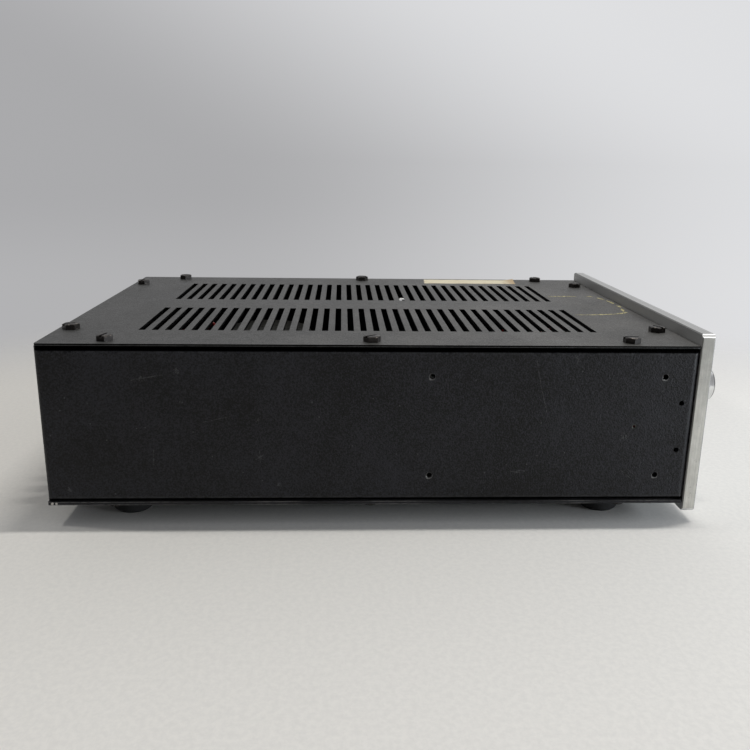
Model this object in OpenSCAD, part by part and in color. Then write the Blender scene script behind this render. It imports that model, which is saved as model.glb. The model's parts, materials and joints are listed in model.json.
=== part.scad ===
// Half-rack preamplifier: a folded steel case with slotted covers, a thick front panel
// with its controls, sockets at the rear and the electronics inside.
// Millimetres. +Z is up, the front faces -Y, and the origin lies on the ground
// under the middle of the outer box.

/* [Case] */
// Width of the case and of the front panel
case_w = 209.5; // [200:0.5:240]
// Depth from the rear face to the back of the front panel
case_d = 304.8; // [298:0.1:360]
// Height of the folded side panels
case_h = 75.2; // [70:0.1:95]
// Thickness of the folded sheets
sheet_t = 1.5; // [1:0.1:2]
// Outer radius of the folds
fold_r = 2.8; // [1:0.1:3.2]
// Width of the flanges folded from the side panels
flange_w = 14; // [12:0.5:18]
// Width of the lips folded from the rear panel and the sub-panel
lip_w = 12; // [10.5:0.5:16]
// Thickness of the top and bottom covers
cover_t = 1.6; // [1:0.1:2.5]
// How far the top cover stops short of the rear face
cover_inset = 0.8; // [0.3:0.1:2]
// How far the bottom cover stops short of the rear face
low_cover_inset = 0; // [0:0.1:2]
// Gap left between folded sheets that fit into each other
fit_gap = 0.2; // [0.1:0.05:0.4]

/* [Vents] */
// Number of slots in each row
slot_count = 36; // [12:1:38]
// Distance from slot to slot
slot_pitch = 6.35; // [5:0.05:6.6]
// Width of a slot
slot_w = 3.1; // [2:0.1:3.5]
// Length of a slot
slot_len = 60.5; // [40:0.5:64]
// Plain strip between the two rows of slots
slot_bridge = 28; // [20:0.5:34]
// Number of slots in each row of the bottom cover
low_slot_count = 12; // [6:1:14]
// Length of the slots in the bottom cover
low_slot_len = 36; // [20:0.5:44]

/* [Cover screws] */
// Width of the hexagon heads across their flats
hex_af = 7.1; // [6.8:0.1:9]
// Height of the hexagon heads
hex_h = 2.8; // [2:0.1:3.5]
// Radius of the screw threads
cover_screw_r = 2; // [1.8:0.1:2.5]
// Length of the screws under their heads
cover_screw_len = 7; // [5:0.5:10]
// Side screws, from the side face
side_screw_inset = 7.7; // [7:0.1:9]
// Side screws, from one to the next
side_screw_pitch = 122.2; // [100:0.2:125]
// End screws, from the side face
end_screw_inset = 32.25; // [28:0.25:50]
// Rear end screws, from the rear face
rear_screw_inset = 7.1; // [5.5:0.1:8]
// Front end screws, from the front panel
front_screw_inset = 8.7; // [6:0.1:9]

/* [Small screws] */
// Radius of the small screws
small_r = 1.45; // [1.2:0.05:1.6]
// Radius of the small screw heads
small_head_r = 2.6; // [2.2:0.1:2.9]
// Height of the small screw heads
small_head_h = 1.8; // [1.4:0.1:2.2]
// Radial clearance between a screw and its hole
hole_gap = 0.1; // [0.05:0.05:0.2]
// Radius of the screws that hold the front panel
panel_screw_r = 1.95; // [1.5:0.05:2.2]
// Radius of the heads of the screws that hold the front panel
panel_screw_head_r = 3.5; // [3:0.1:4]
// Distance of the frame screws above and below mid height
frame_screw_z = 26; // [20:0.5:28]
// Distance of the frame screws from the side face
frame_screw_inset = 9; // [6:0.1:10]

/* [Front panel] */
// Thickness of the front panel
panel_t = 6.35; // [5:0.05:8]
// Height of the front panel
panel_h = 88.5; // [84:0.5:100]
// How far the front panel reaches below the bottom cover
panel_drop = 4.5; // [2:0.1:6]
// Chamfer on the edges of the front panel
panel_chamfer = 0.5; // [0.3:0.1:1.2]
// Cut across the four corners of the front panel
panel_corner = 1.6; // [0.5:0.1:3]

/* [Feet] */
// Height of a foot
foot_h = 10.2; // [8:0.1:16]
// Radius of a foot
foot_r = 10; // [8:0.5:12]
// Centre of a foot, from the side face
foot_inset_x = 21.6; // [21.5:0.1:30]
// Centre of a foot, from the rear face and from the front panel
foot_inset_y = 34.5; // [26:0.5:40]

/* [Side holes] */
// Radius of the four threaded holes in each side
mount_r = 1.45; // [1.2:0.05:1.9]
// Distance between the threaded holes, front to rear
mount_pitch_y = 109.3; // [90:0.1:130]
// Distance between the threaded holes, up and down
mount_pitch_z = 48.8; // [40:0.1:54]
// Front pair of threaded holes, from the front panel
mount_front = 15.3; // [14:0.1:22]
// Radius of the clinch nuts behind the threaded holes
clinch_r = 3.3; // [2.8:0.1:4]
// Height of the clinch nuts
clinch_h = 2.4; // [1.5:0.1:3]
// Radius of the plain pair of holes close to the front panel
pair_r = 1.25; // [1:0.05:1.5]
// Distance between the plain pair of holes
pair_pitch = 23.3; // [16:0.1:30]
// Plain pair of holes, from the front panel
pair_front = 6.3; // [5.5:0.1:8]
// Single hole at mid height, from the front panel
single_front = 27.8; // [24:0.1:34]

/* [Knobs and shafts] */
// Outer knobs, from the ends of the front panel
knob_inset = 34.85; // [30:0.05:38]
// Height of the knob row above the middle of the front panel
knob_rise = 11.2; // [9:0.1:14]
// Radius of a knob
knob_r = 8.2; // [7.2:0.05:10]
// How far a knob reaches in front of the front panel
knob_reach = 16; // [13.5:0.1:26]
// Gap between a knob and the front panel
knob_gap = 1; // [0.5:0.1:2]
// Solid end of a knob, in front of its shaft
knob_cap = 5; // [3:0.5:7]
// Radius of a control shaft
shaft_r = 3; // [2.5:0.1:3.2]
// Running clearance between a shaft and its bushing
shaft_gap = 0.05; // [0.02:0.01:0.1]
// Depth of a shaft in the body of its control
shaft_in = 6; // [4:0.5:9]
// Depth of the flat on a shaft
shaft_flat = 0.6; // [0.3:0.1:1]
// Radius of a knob's set screw
set_screw_r = 1.5; // [1.2:0.1:1.8]

/* [Control bodies] */
// Radius of the threaded bushings
bushing_r = 4.5; // [4:0.1:5]
// Reach of the threaded bushings in front of the sub-panel
bushing_len = 6.5; // [5.5:0.1:7]
// Width of the bushing nuts across their flats
nut_af = 12; // [11:0.1:13]
// Thickness of the bushing nuts
nut_t = 2.4; // [2:0.1:3]
// Radius of a potentiometer
pot_r = 12; // [10:0.5:13]
// Depth of a potentiometer
pot_len = 14; // [11:0.5:18]
// Radius of a rotary switch
rotary_r = 15; // [12:0.5:16]
// Depth of a rotary switch
rotary_len = 16; // [11:0.5:20]

/* [Toggles, button and lamp] */
// Height of the lower row below the middle of the front panel
lower_drop = 18; // [17:0.1:22]
// Radius of a toggle's bushing
toggle_r = 3.1; // [3:0.05:3.5]
// Reach of a toggle's bushing in front of the front panel
toggle_proud = 2.2; // [2:0.1:3]
// Radius of the ball on a toggle lever
ball_r = 2.1; // [1.9:0.05:2.2]
// Length of a toggle lever from its ball
lever_len = 10.5; // [8:0.5:13]
// Angle between the two positions of a toggle lever
lever_swing = 25; // [15:1:28]
// Radius of the power button
button_r = 4.6; // [4:0.1:5.5]
// Reach of the power button in front of the front panel
button_reach = 5; // [4:0.1:8]
// Travel of the power button
button_travel = 3; // [2:0.1:3]
// Radius of the power lamp
lamp_r = 2.4; // [1.5:0.1:3]

/* [Rear sockets] */
// Number of jacks in a row
jack_columns = 8; // [4:1:8]
// Distance from jack to jack
jack_pitch = 14; // [13:0.1:14.5]
// Distance between the two rows of jacks
jack_row_pitch = 20; // [16:0.5:26]
// Middle of the rows of jacks, from the middle of the case
jack_x = -24; // [-28:0.5:-20]
// Outer radius of a jack
jack_r = 4.15; // [4:0.05:4.3]
// Length of a jack behind the rear panel's face
jack_len = 11; // [9:0.1:13]
// Depth of a jack inside the case
jack_back = 8; // [6:0.5:12]
// Middle of the mains inlet, from the side face
inlet_inset = 26.75; // [25:0.25:34]
// Height of the mains inlet's flange
inlet_flange_h = 50; // [48:0.5:52]
// Width of the mains inlet's flange
inlet_flange_w = 22.5; // [22:0.5:26]
// Thickness of the mains inlet's flange
inlet_flange_t = 3; // [2:0.1:4]
// Depth of the mains inlet's body inside the case
inlet_back = 20; // [19:0.5:24]
// Distance between the mains inlet's screws
inlet_screw_pitch = 40; // [36:0.5:42]

/* [Boards] */
// Thickness of the circuit boards
board_t = 1.6; // [1:0.1:2.4]
// Height of the standoffs under the main board
standoff_h = 8; // [5:0.5:10]
// Gap between the main board and the side panels
board_side_gap = 17; // [15.5:0.5:19]
// Gap between the main board and the front panel
board_front_gap = 36; // [34:0.5:40]

/* [Transformer] */
// Radius of the transformer's can
can_r = 27; // [26:0.5:28]
// Height of the transformer's can
can_h = 56; // [50:0.5:58]
// Wall of the transformer's can
can_wall = 1; // [0.8:0.1:1.5]
// Middle of the transformer, from the middle of the case
can_x = 34; // [30:0.5:38]
// Middle of the transformer, from the rear face
can_from_rear = 92.5; // [86:0.5:96]

/* [Hidden] */
$fn = 48;
// Small overlap that keeps cuts clean
cut = 0.1;

// Levels and depths that everything else hangs on
rear_reach = jack_len - sheet_t;
overall_d = rear_reach + case_d + panel_t + knob_reach;
rear_y = overall_d / 2 - rear_reach;
front_y = rear_y - case_d;
cover_front_gap = 0.3;
base_z = foot_h;
frame_z = base_z + cover_t;
frame_top = frame_z + case_h;
frame_mid = frame_z + case_h / 2;
panel_z = base_z - panel_drop;
panel_mid = panel_z + panel_h / 2;
sub_y = front_y + 2 * sheet_t;
face_d = 2 * sheet_t + panel_t;
side_x = case_w / 2;
frame_screw_x = side_x - frame_screw_inset;
end_screw_x = side_x - end_screw_inset;

// Screw places on the covers: three along each side and two at each end
side_screw_y = [for (i = [-1:1]) (rear_y + front_y) / 2 + i * side_screw_pitch];
cover_screws = concat(
    [for (s = [-1, 1], y = side_screw_y) [s * (side_x - side_screw_inset), y]],
    [for (s = [-1, 1]) [s * end_screw_x, rear_y - rear_screw_inset]],
    [for (s = [-1, 1]) [s * end_screw_x, front_y + front_screw_inset]]
);
cover_hole_r = cover_screw_r + hole_gap;
small_hole_r = small_r + hole_gap;
panel_hole_r = panel_screw_r + hole_gap;
panel_screw_depth = 4.8;
screw_tail = 2;
panel_screw_head_h = 2.4;
slot_turn = 37;
cover_corner_r = 1;
feet_xy = [for (s = [-1, 1], y = [front_y + foot_inset_y, rear_y - foot_inset_y])
    [s * (side_x - foot_inset_x), y]];
foot_recess_r = small_head_r + 1;
foot_recess_h = foot_h / 2;
foot_waist = 0.5;

// Vents in the bottom cover lie under the main board, clear of its standoffs
low_slot_from_board = 62;
low_slot_y = front_y + board_front_gap + low_slot_from_board;

// Loose clearance around nuts, bushings and the button
wide_gap = 0.5;

// Controls: four knobs above, toggles and power below, each in line with a knob
knob_pitch = (case_w - 2 * knob_inset) / 3;
knob_x = [for (i = [0:3]) knob_inset - side_x + i * knob_pitch];
knob_z = panel_mid + knob_rise;
lower_z = panel_mid - lower_drop;
toggle_x = [knob_x[0], knob_x[1], knob_x[2]];
power_x = knob_x[3];
lamp_x = (knob_x[2] + knob_x[3]) / 2;
knob_chamfer = 0.5;
knob_groove = 0.6;
knob_bore_r = shaft_r + shaft_gap;
shaft_tip = face_d + knob_reach - knob_cap;
knob_foot = 2;
knob_waist = 0.5;
set_screw_rise = 4.5;
set_screw_d = face_d + knob_gap + set_screw_rise;
nut_pocket_r = nut_af / 2 / cos(30) + 2 * wide_gap;
nut_pocket_d = nut_t - sheet_t + wide_gap;
bushing_hole_r = bushing_r + wide_gap;
thread_gap = 0.05;
lug_w = 2.4;
lug_t = 0.8;
lug_len = 5;
pot_lug_pitch = 5;
rotary_lugs = 12;
wafer_lug = 3;
toggle_body = [8, 13, 14];
toggle_nut_af = 8;
toggle_nut_t = 1.6;
ball_gap = 0.08;
toggle_ball_sunk = 1.6;
toggle_pivot = face_d + toggle_proud - toggle_ball_sunk;
toggle_bore_r = ball_r + ball_gap;
toggle_bore_tail = 1.5;
lever_tail = 4.5;
lever_tail_r = 0.9;
lever_neck_r = 1.1;
lever_tip_r = 1.9;
button_body = [16, 16, 22];
button_bushing = 4;
button_in = 8;
button_cap_back = button_travel + wide_gap - (face_d - sheet_t - button_bushing);
button_hole_r = button_r + wide_gap;
lamp_flange_r = lamp_r + 1.2;
lamp_flange_t = 0.8 * sheet_t;
lamp_proud = 0.3;

// Rear sockets: the rear panel's outer face lies one sheet inside the rear face
socket_y = rear_y - sheet_t;
jack_xz = [for (r = [-1, 1], i = [0:jack_columns - 1])
    [jack_x + (i - (jack_columns - 1) / 2) * jack_pitch, frame_mid + r * jack_row_pitch / 2]];
jack_flange_w = 1.2;
jack_flange_r = jack_r + jack_flange_w;
jack_flange_t = 0.8;
jack_ring_w = 1.5;
jack_ring_r = jack_r + jack_ring_w;
jack_ring_t = 1;
jack_wall = 0.95;
jack_core_r = jack_r - jack_wall;
jack_hole_r = 4;
jack_pin_r = 1.65;
jack_pin_wall = 0.3;
jack_pin_floor = 1;
jack_recess = 1.2;
jack_board_margin = 10;
inlet_x = side_x - inlet_inset;
ground_x = (jack_x + jack_columns * jack_pitch / 2 + inlet_x - inlet_flange_w / 2) / 2;
ground_drop = 24;
ground_z = frame_mid - ground_drop;
inlet_body = [26.6, 19.6];
inlet_mouth = [24, 15.6];
inlet_corner = 4;
inlet_floor = 3;
inlet_blade = [2, 4];
inlet_recess = 5;
inlet_tab = 7;
inlet_blades = [[-7, 1.5], [7, 1.5], [0, -3]];

// Main board and what stands on it, measured from its front edge and the case's middle
can_y = rear_y - can_from_rear;
can_screw_r = can_r + small_head_r + wide_gap;
can_flange_r = can_screw_r + small_head_r + wide_gap;
can_screw_turns = [90, 210, 330];
can_edge_r = 4;
coil_gap = 2;
coil_r = can_r - can_wall - coil_gap;
coil_h = can_h - can_wall - 4 * coil_gap;
coil_bore_r = 8;
board_z = frame_z + standoff_h;
board_top = board_z + board_t;
board_w = case_w - 2 * board_side_gap;
board_front_y = front_y + board_front_gap;
board_rear_gap = 1.5;
board_rear_y = can_y - can_flange_r - board_rear_gap;
board_screw_inset = 6;
board_screw_x = board_w / 2 - board_screw_inset;
board_screw_y = [board_front_y + board_screw_inset, board_rear_y - board_screw_inset];
board_screw_xy = [for (s = [-1, 1], y = board_screw_y) [s * board_screw_x, y]];
standoff_af = 6;
standoff_floor = 1;
standoff_bore_r = small_r + thread_gap;
film_size = [13, 6, 11];
film_pitch = 18;
film_inset = 15.75;
film_x = film_inset - board_w / 2;
film_d = [22, 44];
chip_size = [9.6, 6.4, 3.4];
chip_d = 33;
resistor_r = 1.2;
resistor_len = 6.5;
resistor_pitch = 7;
resistor_d = [54, 66];
small_cap_r = 5;
small_cap_h = 12;
small_cap_d = 86;
filter_cap_r = 11;
filter_cap_h = 34;
filter_cap_back = 34;
filter_cap_d = board_rear_y - board_front_y - filter_cap_back;
supply_x = [28, 58];
sink_size = [24, 12, 25];
sink_fin = 1.4;
sink_gap = 7;
sink_d = filter_cap_d - filter_cap_r - sink_gap - sink_size[1];
regulator_size = [10, 4.5, 16];
fuse_r = 2.6;
fuse_len = 20;
fuse_inset = 11.75;
fuse_x = board_w / 2 - fuse_inset;
fuse_d = 30;
fuse_lift = 2;

// Leads inside the case. Each route starts and ends square to the piece it is joined to.
red_lead_r = 1.1;
grey_lead_r = 2.2;
lead_sides = 8;
lead_steps = 4;
lead_end = 6;
lead_turn = 73;
inlet_tab_end = [inlet_x - inlet_blades[0][1], socket_y - sheet_t - inlet_back - inlet_tab - thread_gap,
    frame_mid - inlet_blades[0][0]];
inlet_route = [inlet_tab_end, inlet_tab_end + [0, -lead_end, 0], beside_can(20.5, 46), beside_can(11, 56.5),
    beside_can(9, 46), beside_can(lead_end, 38), beside_can(thread_gap, 38)];
supply_start = [can_x, can_y - can_r - thread_gap, frame_z + 22];
supply_end = [can_x, board_rear_y - lead_end, board_top + thread_gap];
supply_route = [supply_start, supply_start + [0, -lead_end, 0], supply_end + [0, 0, lead_end], supply_end];
volume_start = [42, board_front_y + 24, board_top + thread_gap];
volume_end = [knob_x[3] - 4, sub_y + pot_len + thread_gap, knob_z];
volume_route = [volume_start, volume_start + [0, 0, lead_end], volume_start + [0, 3, 26],
    volume_start + [0, 0.5, 46.5], volume_end + [-20, 30, -10], volume_end + [-6, 16, -2],
    volume_end + [0, lead_end, 0], volume_end];
signal_start = [jack_x - 42, socket_y - sheet_t - jack_back - board_t - thread_gap, frame_mid - 17];
signal_end = [knob_x[0], sub_y + rotary_len + thread_gap, knob_z - 2];
signal_x = -side_x + 10;
signal_z = board_top + 10;
signal_route = [signal_start, signal_start + [0, -lead_end, 0], [signal_x + 7, socket_y - 35, signal_z],
    [signal_x, socket_y - 60, signal_z], [signal_x, 40, signal_z], [signal_x, -40, signal_z],
    [signal_x + 1, board_front_y + 18, signal_z + 4], signal_end + [-16, 16, -12],
    signal_end + [0, lead_end, 0], signal_end];

// Places: a point in front of the sub-panel, a point behind the rear panel, a point on the board

module at_front(x, z) {
    translate([x, sub_y, z]) rotate([90, 0, 0]) children();
}

module at_rear(x, z) {
    translate([x, socket_y, z]) rotate([-90, 0, 0]) children();
}

// The mains inlet stands upright: its long side, local x, runs down
module at_inlet() {
    at_rear(inlet_x, frame_mid) rotate(90) children();
}

module on_board(x, d) {
    translate([x, board_front_y + d, board_top]) children();
}

// Shared shapes

// Rectangle from the origin with its two corners at x = 0 rounded
module folded_outline(w, h) {
    translate([fold_r, 0]) square([w - fold_r, h]);
    translate([0, fold_r]) square([w, h - 2 * fold_r]);
    for (y = [fold_r, h - fold_r]) translate([fold_r, y]) circle(fold_r);
}

// Hexagon prism measured across its flats
module hexagon(af, h) {
    cylinder(r = af / 2 / cos(30), h = h, $fn = 6);
}

// Slotted hexagon screw, seated at z = 0 with its head above
module hex_screw(len) {
    corner_r = hex_af / 2 / cos(30);
    chamfer = 0.5;
    slot = [1.3, 2 * corner_r + 2, 1.2];
    difference() {
        intersection() {
            hexagon(hex_af, hex_h);
            rotate_extrude() polygon([[0, 0], [corner_r, 0], [corner_r, hex_h - chamfer],
                [hex_af / 2 - chamfer, hex_h], [0, hex_h]]);
        }
        translate([-slot[0] / 2, -slot[1] / 2, hex_h - slot[2]]) cube([slot[0], slot[1], slot[2] + cut]);
    }
    translate([0, 0, -len]) cylinder(r = cover_screw_r, h = len);
}

// Screw with a low round head and a cross recess, seated at z = 0 with its head above
module pan_screw(r, head_r, head_h, len) {
    recess = [0.8, 1.3 * head_r, 0.5 * head_h];
    difference() {
        rotate_extrude() polygon([[0, 0], [head_r, 0], [head_r, 0.5 * head_h],
            [0.7 * head_r, head_h], [0, head_h]]);
        for (a = [0, 90]) rotate(a)
            translate([-recess[0] / 2, -recess[1] / 2, head_h - recess[2]])
                cube([recess[0], recess[1], recess[2] + cut]);
    }
    translate([0, 0, -len]) cylinder(r = r, h = len);
}

module small_screw(len) {
    pan_screw(small_r, small_head_r, small_head_h, len);
}

// Point on a smooth curve through the route's points, past point i by the share t
function route_point(p, i, t) =
    let (a = p[max(i - 1, 0)], b = p[i], c = p[i + 1], d = p[min(i + 2, len(p) - 1)])
    0.5 * (2 * b + (c - a) * t + (2 * a - 5 * b + 4 * c - d) * t * t + (3 * b - a - 3 * c + d) * t * t * t);

// Points along a route, whose first and last stretches are straight
function route_line(p) = concat(
    [p[0]],
    [for (i = [1:len(p) - 3], k = [0:lead_steps - 1]) route_point(p, i, k / lead_steps)],
    [p[len(p) - 2], p[len(p) - 1]]
);

function unit(v) = v / norm(v);

// Direction along a line of points, at point i
function heading(q, i) = unit(q[min(i + 1, len(q) - 1)] - q[max(i - 1, 0)]);

// Side direction at each point, carried along the line without twist
function side_ways(q) = [for (
    i = 0, s = unit(cross(heading(q, 0), [0.3, 0.5, 1]));
    i < len(q);
    i = i + 1, s = i < len(q) ? unit(s - (s * heading(q, i)) * heading(q, i)) : s) s];

// Point at a distance from the can's wall and at a height above its base
function beside_can(gap, h) =
    [can_x + (can_r + gap) * cos(lead_turn), can_y + (can_r + gap) * sin(lead_turn), frame_z + h];

// Insulated wire along a route
module lead(route, r) {
    q = route_line(route);
    s = side_ways(q);
    rings = len(q);
    points = [for (i = [0:rings - 1], k = [0:lead_sides - 1])
        let (u = s[i], v = cross(heading(q, i), u), a = 360 * k / lead_sides)
        q[i] + r * (cos(a) * u + sin(a) * v)];
    walls = [for (i = [0:rings - 2], k = [0:lead_sides - 1])
        let (a = i * lead_sides + k, b = i * lead_sides + (k + 1) % lead_sides)
        each [[a, a + lead_sides, b], [b, a + lead_sides, b + lead_sides]]];
    first_end = [for (k = [1:lead_sides - 2]) [0, k, k + 1]];
    last = (rings - 1) * lead_sides;
    last_end = [for (k = [1:lead_sides - 2]) [last, last + k + 1, last + k]];
    polyhedron(points, concat(walls, first_end, last_end));
}

// Case

// Holes through the wall of the left side panel, measured from the front panel
module side_holes() {
    mid = case_h / 2;
    mount_places = [for (y = [0, mount_pitch_y], z = [-1, 1])
        [mount_front + y, mid + z * mount_pitch_z / 2]];
    pair_places = [for (z = [-1, 1]) [pair_front, mid + z * pair_pitch / 2]];
    for (p = mount_places) side_hole(p, mount_r);
    for (p = pair_places) side_hole(p, pair_r);
    side_hole([single_front, mid], pair_r);
}

// Hole through the end flange at depth y, z steps above mid height
module end_flange_hole(y, z, r) {
    translate([frame_screw_inset, y - cut, case_h / 2 + z * frame_screw_z]) rotate([-90, 0, 0])
        cylinder(r = r, h = sheet_t + 2 * cut);
}

module side_hole(p, r) {
    translate([-cut, p[0], p[1]]) rotate([0, 90, 0]) cylinder(r = r, h = sheet_t + 2 * cut);
}

// Left side panel: a shallow tray with flanges on all four edges, placed in the case
module side_tray() {
    translate([-side_x, front_y, frame_z]) difference() {
        intersection() {
            translate([0, case_d, 0]) rotate([90, 0, 0])
                linear_extrude(case_d) folded_outline(flange_w, case_h);
            linear_extrude(case_h) folded_outline(flange_w, case_d);
        }
        translate([sheet_t, sheet_t, sheet_t])
            cube([flange_w, case_d - 2 * sheet_t, case_h - 2 * sheet_t]);
        side_holes();
        for (y = side_screw_y) translate([side_screw_inset, y - front_y, -cut])
            cylinder(r = cover_hole_r, h = case_h + 2 * cut);
        for (z = [-1, 1]) end_flange_hole(0, z, panel_hole_r);
        for (z = [-1:1]) end_flange_hole(case_d - sheet_t, z, small_hole_r);
    }
}

module left_side_panel() {
    color("#26262a") side_tray();
}

module right_side_panel() {
    color("#26262a") mirror([1, 0, 0]) side_tray();
}

// Channel across the case: a plate between the side panels with a lip above and below.
// Its outer face lies at y = 0 and the lips run towards +Y.
module cross_channel() {
    lip_half = side_x - flange_w - fit_gap;
    plate_half = side_x - sheet_t - fit_gap;
    plate_low = sheet_t + fit_gap;
    translate([-lip_half, 0, 0]) rotate([90, 0, 90]) linear_extrude(2 * lip_half) difference() {
        folded_outline(lip_w, case_h);
        translate([sheet_t, sheet_t]) square([lip_w, case_h - 2 * sheet_t]);
    }
    translate([-plate_half, 0, plate_low]) cube([2 * plate_half, sheet_t, case_h - 2 * plate_low]);
}

// Holes for the end screws through both lips, at a distance from the channel's face
module lip_holes(y) {
    for (s = [-1, 1]) translate([s * end_screw_x, y, -cut])
        cylinder(r = cover_hole_r, h = case_h + 2 * cut);
}

module rear_panel() {
    color("#2c2c30") difference() {
        translate([0, socket_y, frame_z]) mirror([0, 1, 0]) difference() {
            cross_channel();
            lip_holes(rear_screw_inset - sheet_t);
        }
        for (p = jack_xz) at_rear(p[0], p[1]) wall_hole(jack_hole_r);
        for (s = [-1, 1], z = [-1:1])
            at_rear(s * frame_screw_x, frame_mid + z * frame_screw_z) wall_hole(small_hole_r);
        at_inlet() for (s = [-1, 1]) translate([s * inlet_screw_pitch / 2, 0, 0]) wall_hole(small_hole_r);
        at_rear(ground_x, ground_z) wall_hole(cover_hole_r);
        at_inlet() translate([0, 0, -sheet_t - cut]) linear_extrude(sheet_t + 2 * cut)
            square([inlet_body[0] + 2 * fit_gap, inlet_body[1] + 2 * fit_gap], center = true);
    }
}

// Round hole through the rear panel's wall
module wall_hole(r) {
    translate([0, 0, -sheet_t - cut]) cylinder(r = r, h = sheet_t + 2 * cut);
}

module front_subpanel() {
    color("#2c2c30") difference() {
        translate([0, front_y + sheet_t, frame_z]) difference() {
            cross_channel();
            lip_holes(front_screw_inset - sheet_t);
        }
        for (x = knob_x) at_front(x, knob_z) front_hole(bushing_r + thread_gap);
        at_front(power_x, lower_z) front_hole(bushing_r + thread_gap);
        for (x = toggle_x) at_front(x, lower_z) front_hole(toggle_r + thread_gap);
        for (s = [-1, 1], z = [-1, 1])
            at_front(s * frame_screw_x, frame_mid + z * frame_screw_z) front_hole(panel_hole_r);
    }
}

// Round hole through the sub-panel's wall
module front_hole(r) {
    translate([0, 0, -cut]) cylinder(r = r, h = sheet_t + 2 * cut);
}

// Rectangle from the origin with its four corners cut off
module chamfered_outline(w, t, c) {
    polygon([[c, 0], [w - c, 0], [w, c], [w, t - c], [w - c, t], [c, t], [0, t - c], [0, c]]);
}

module front_panel() {
    color("#c4c5c4") difference() {
        translate([-side_x, front_y - panel_t, panel_z]) intersection() {
            linear_extrude(panel_h) chamfered_outline(case_w, panel_t, panel_chamfer);
            rotate([90, 0, 90]) linear_extrude(case_w) chamfered_outline(panel_t, panel_h, panel_chamfer);
            translate([0, panel_t, 0]) rotate([90, 0, 0]) linear_extrude(panel_t)
                chamfered_outline(case_w, panel_h, panel_corner);
        }
        for (x = knob_x) at_front(x, knob_z) bushing_clearance(bushing_hole_r);
        at_front(power_x, lower_z) bushing_clearance(button_hole_r);
        for (x = toggle_x) at_front(x, lower_z) panel_through(toggle_r + fit_gap);
        at_front(lamp_x, lower_z) panel_through(lamp_r + hole_gap);
        for (s = [-1, 1], z = [-1, 1]) at_front(s * frame_screw_x, frame_mid + z * frame_screw_z)
            translate([0, 0, 2 * sheet_t - cut]) cylinder(r = panel_hole_r, h = panel_screw_depth + cut);
    }
}

module panel_through(r) {
    translate([0, 0, 2 * sheet_t - cut]) cylinder(r = r, h = panel_t + 2 * cut);
}

// Hole through the front panel with a pocket for a nut behind it
module bushing_clearance(r) {
    panel_through(r);
    translate([0, 0, 2 * sheet_t - cut]) cylinder(r = nut_pocket_r, h = nut_pocket_d + cut);
}

// Flat cover with its screw holes, from z = 0 up, that stops short of the rear face by the inset
module cover_plate(inset) {
    depth = case_d - inset - cover_front_gap;
    r = cover_corner_r;
    difference() {
        translate([-side_x, front_y + cover_front_gap, 0]) linear_extrude(cover_t) {
            translate([r, 0]) square([case_w - 2 * r, depth]);
            translate([0, r]) square([case_w, depth - 2 * r]);
            for (x = [r, case_w - r], y = [r, depth - r]) translate([x, y]) circle(r);
        }
        for (p = cover_screws) translate([p[0], p[1], -cut])
            cylinder(r = cover_hole_r, h = cover_t + 2 * cut);
    }
}

// Two rows of slots, each slot across the case, centred on a depth y
module vent_slots(count, len, y) {
    for (s = [-1, 1], i = [0:count - 1])
        translate([s * (slot_bridge + len) / 2, y + (i - (count - 1) / 2) * slot_pitch, cover_t / 2])
            cube([len, slot_w, cover_t + 2 * cut], center = true);
}

module top_cover() {
    color("#3a3a3d") translate([0, 0, frame_top]) difference() {
        cover_plate(cover_inset);
        vent_slots(slot_count, slot_len, (front_y + rear_y) / 2);
    }
}

module bottom_cover() {
    color("#3a3a3d") translate([0, 0, base_z]) difference() {
        cover_plate(low_cover_inset);
        vent_slots(low_slot_count, low_slot_len, low_slot_y);
        for (p = feet_xy) translate([p[0], p[1], -cut]) cylinder(r = small_hole_r, h = cover_t + 2 * cut);
        can_screw_places() translate([0, 0, -cut]) cylinder(r = small_hole_r, h = cover_t + 2 * cut);
    }
}

module top_cover_screws() {
    color("#3b332c") for (i = [0:len(cover_screws) - 1])
        translate([cover_screws[i][0], cover_screws[i][1], frame_top + cover_t])
            rotate(slot_turn * i) hex_screw(cover_screw_len);
}

module bottom_cover_screws() {
    color("#3b332c") for (i = [0:len(cover_screws) - 1])
        translate([cover_screws[i][0], cover_screws[i][1], base_z])
            rotate([180, 0, slot_turn * i]) hex_screw(cover_screw_len);
}

module rear_panel_screws() {
    color("#4a4a4c") for (s = [-1, 1], z = [-1:1])
        at_rear(s * frame_screw_x, frame_mid + z * frame_screw_z)
            translate([0, 0, sheet_t]) small_screw(2 * sheet_t + screw_tail);
}

module front_panel_screws() {
    len = 2 * sheet_t + panel_screw_depth - fit_gap;
    color("#8a8a8c") for (s = [-1, 1], z = [-1, 1])
        at_front(s * frame_screw_x, frame_mid + z * frame_screw_z) rotate([180, 0, 0])
            pan_screw(panel_screw_r, panel_screw_head_r, panel_screw_head_h, len);
}

module clinch_nuts() {
    color("#9a9a98") for (s = [-1, 1], y = [0, mount_pitch_y], z = [-1, 1])
        translate([s * (side_x - sheet_t), front_y + mount_front + y, frame_mid + z * mount_pitch_z / 2])
            rotate([0, -s * 90, 0]) difference() {
                cylinder(r = clinch_r, h = clinch_h);
                translate([0, 0, -cut]) cylinder(r = mount_r, h = clinch_h + 2 * cut);
            }
}

// Rubber foot with a tapered side, standing on z = 0
module foot() {
    edge = 1.2;
    difference() {
        rotate_extrude() polygon([[0, 0], [foot_r - foot_waist - edge, 0], [foot_r - foot_waist, edge],
            [foot_r, foot_h - edge], [foot_r, foot_h], [0, foot_h]]);
        translate([0, 0, -cut]) cylinder(r = foot_recess_r, h = foot_recess_h + cut);
        cylinder(r = small_hole_r, h = foot_h + cut);
    }
}

module feet() {
    color("#141414") for (p = feet_xy) translate([p[0], p[1], 0]) foot();
}

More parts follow.
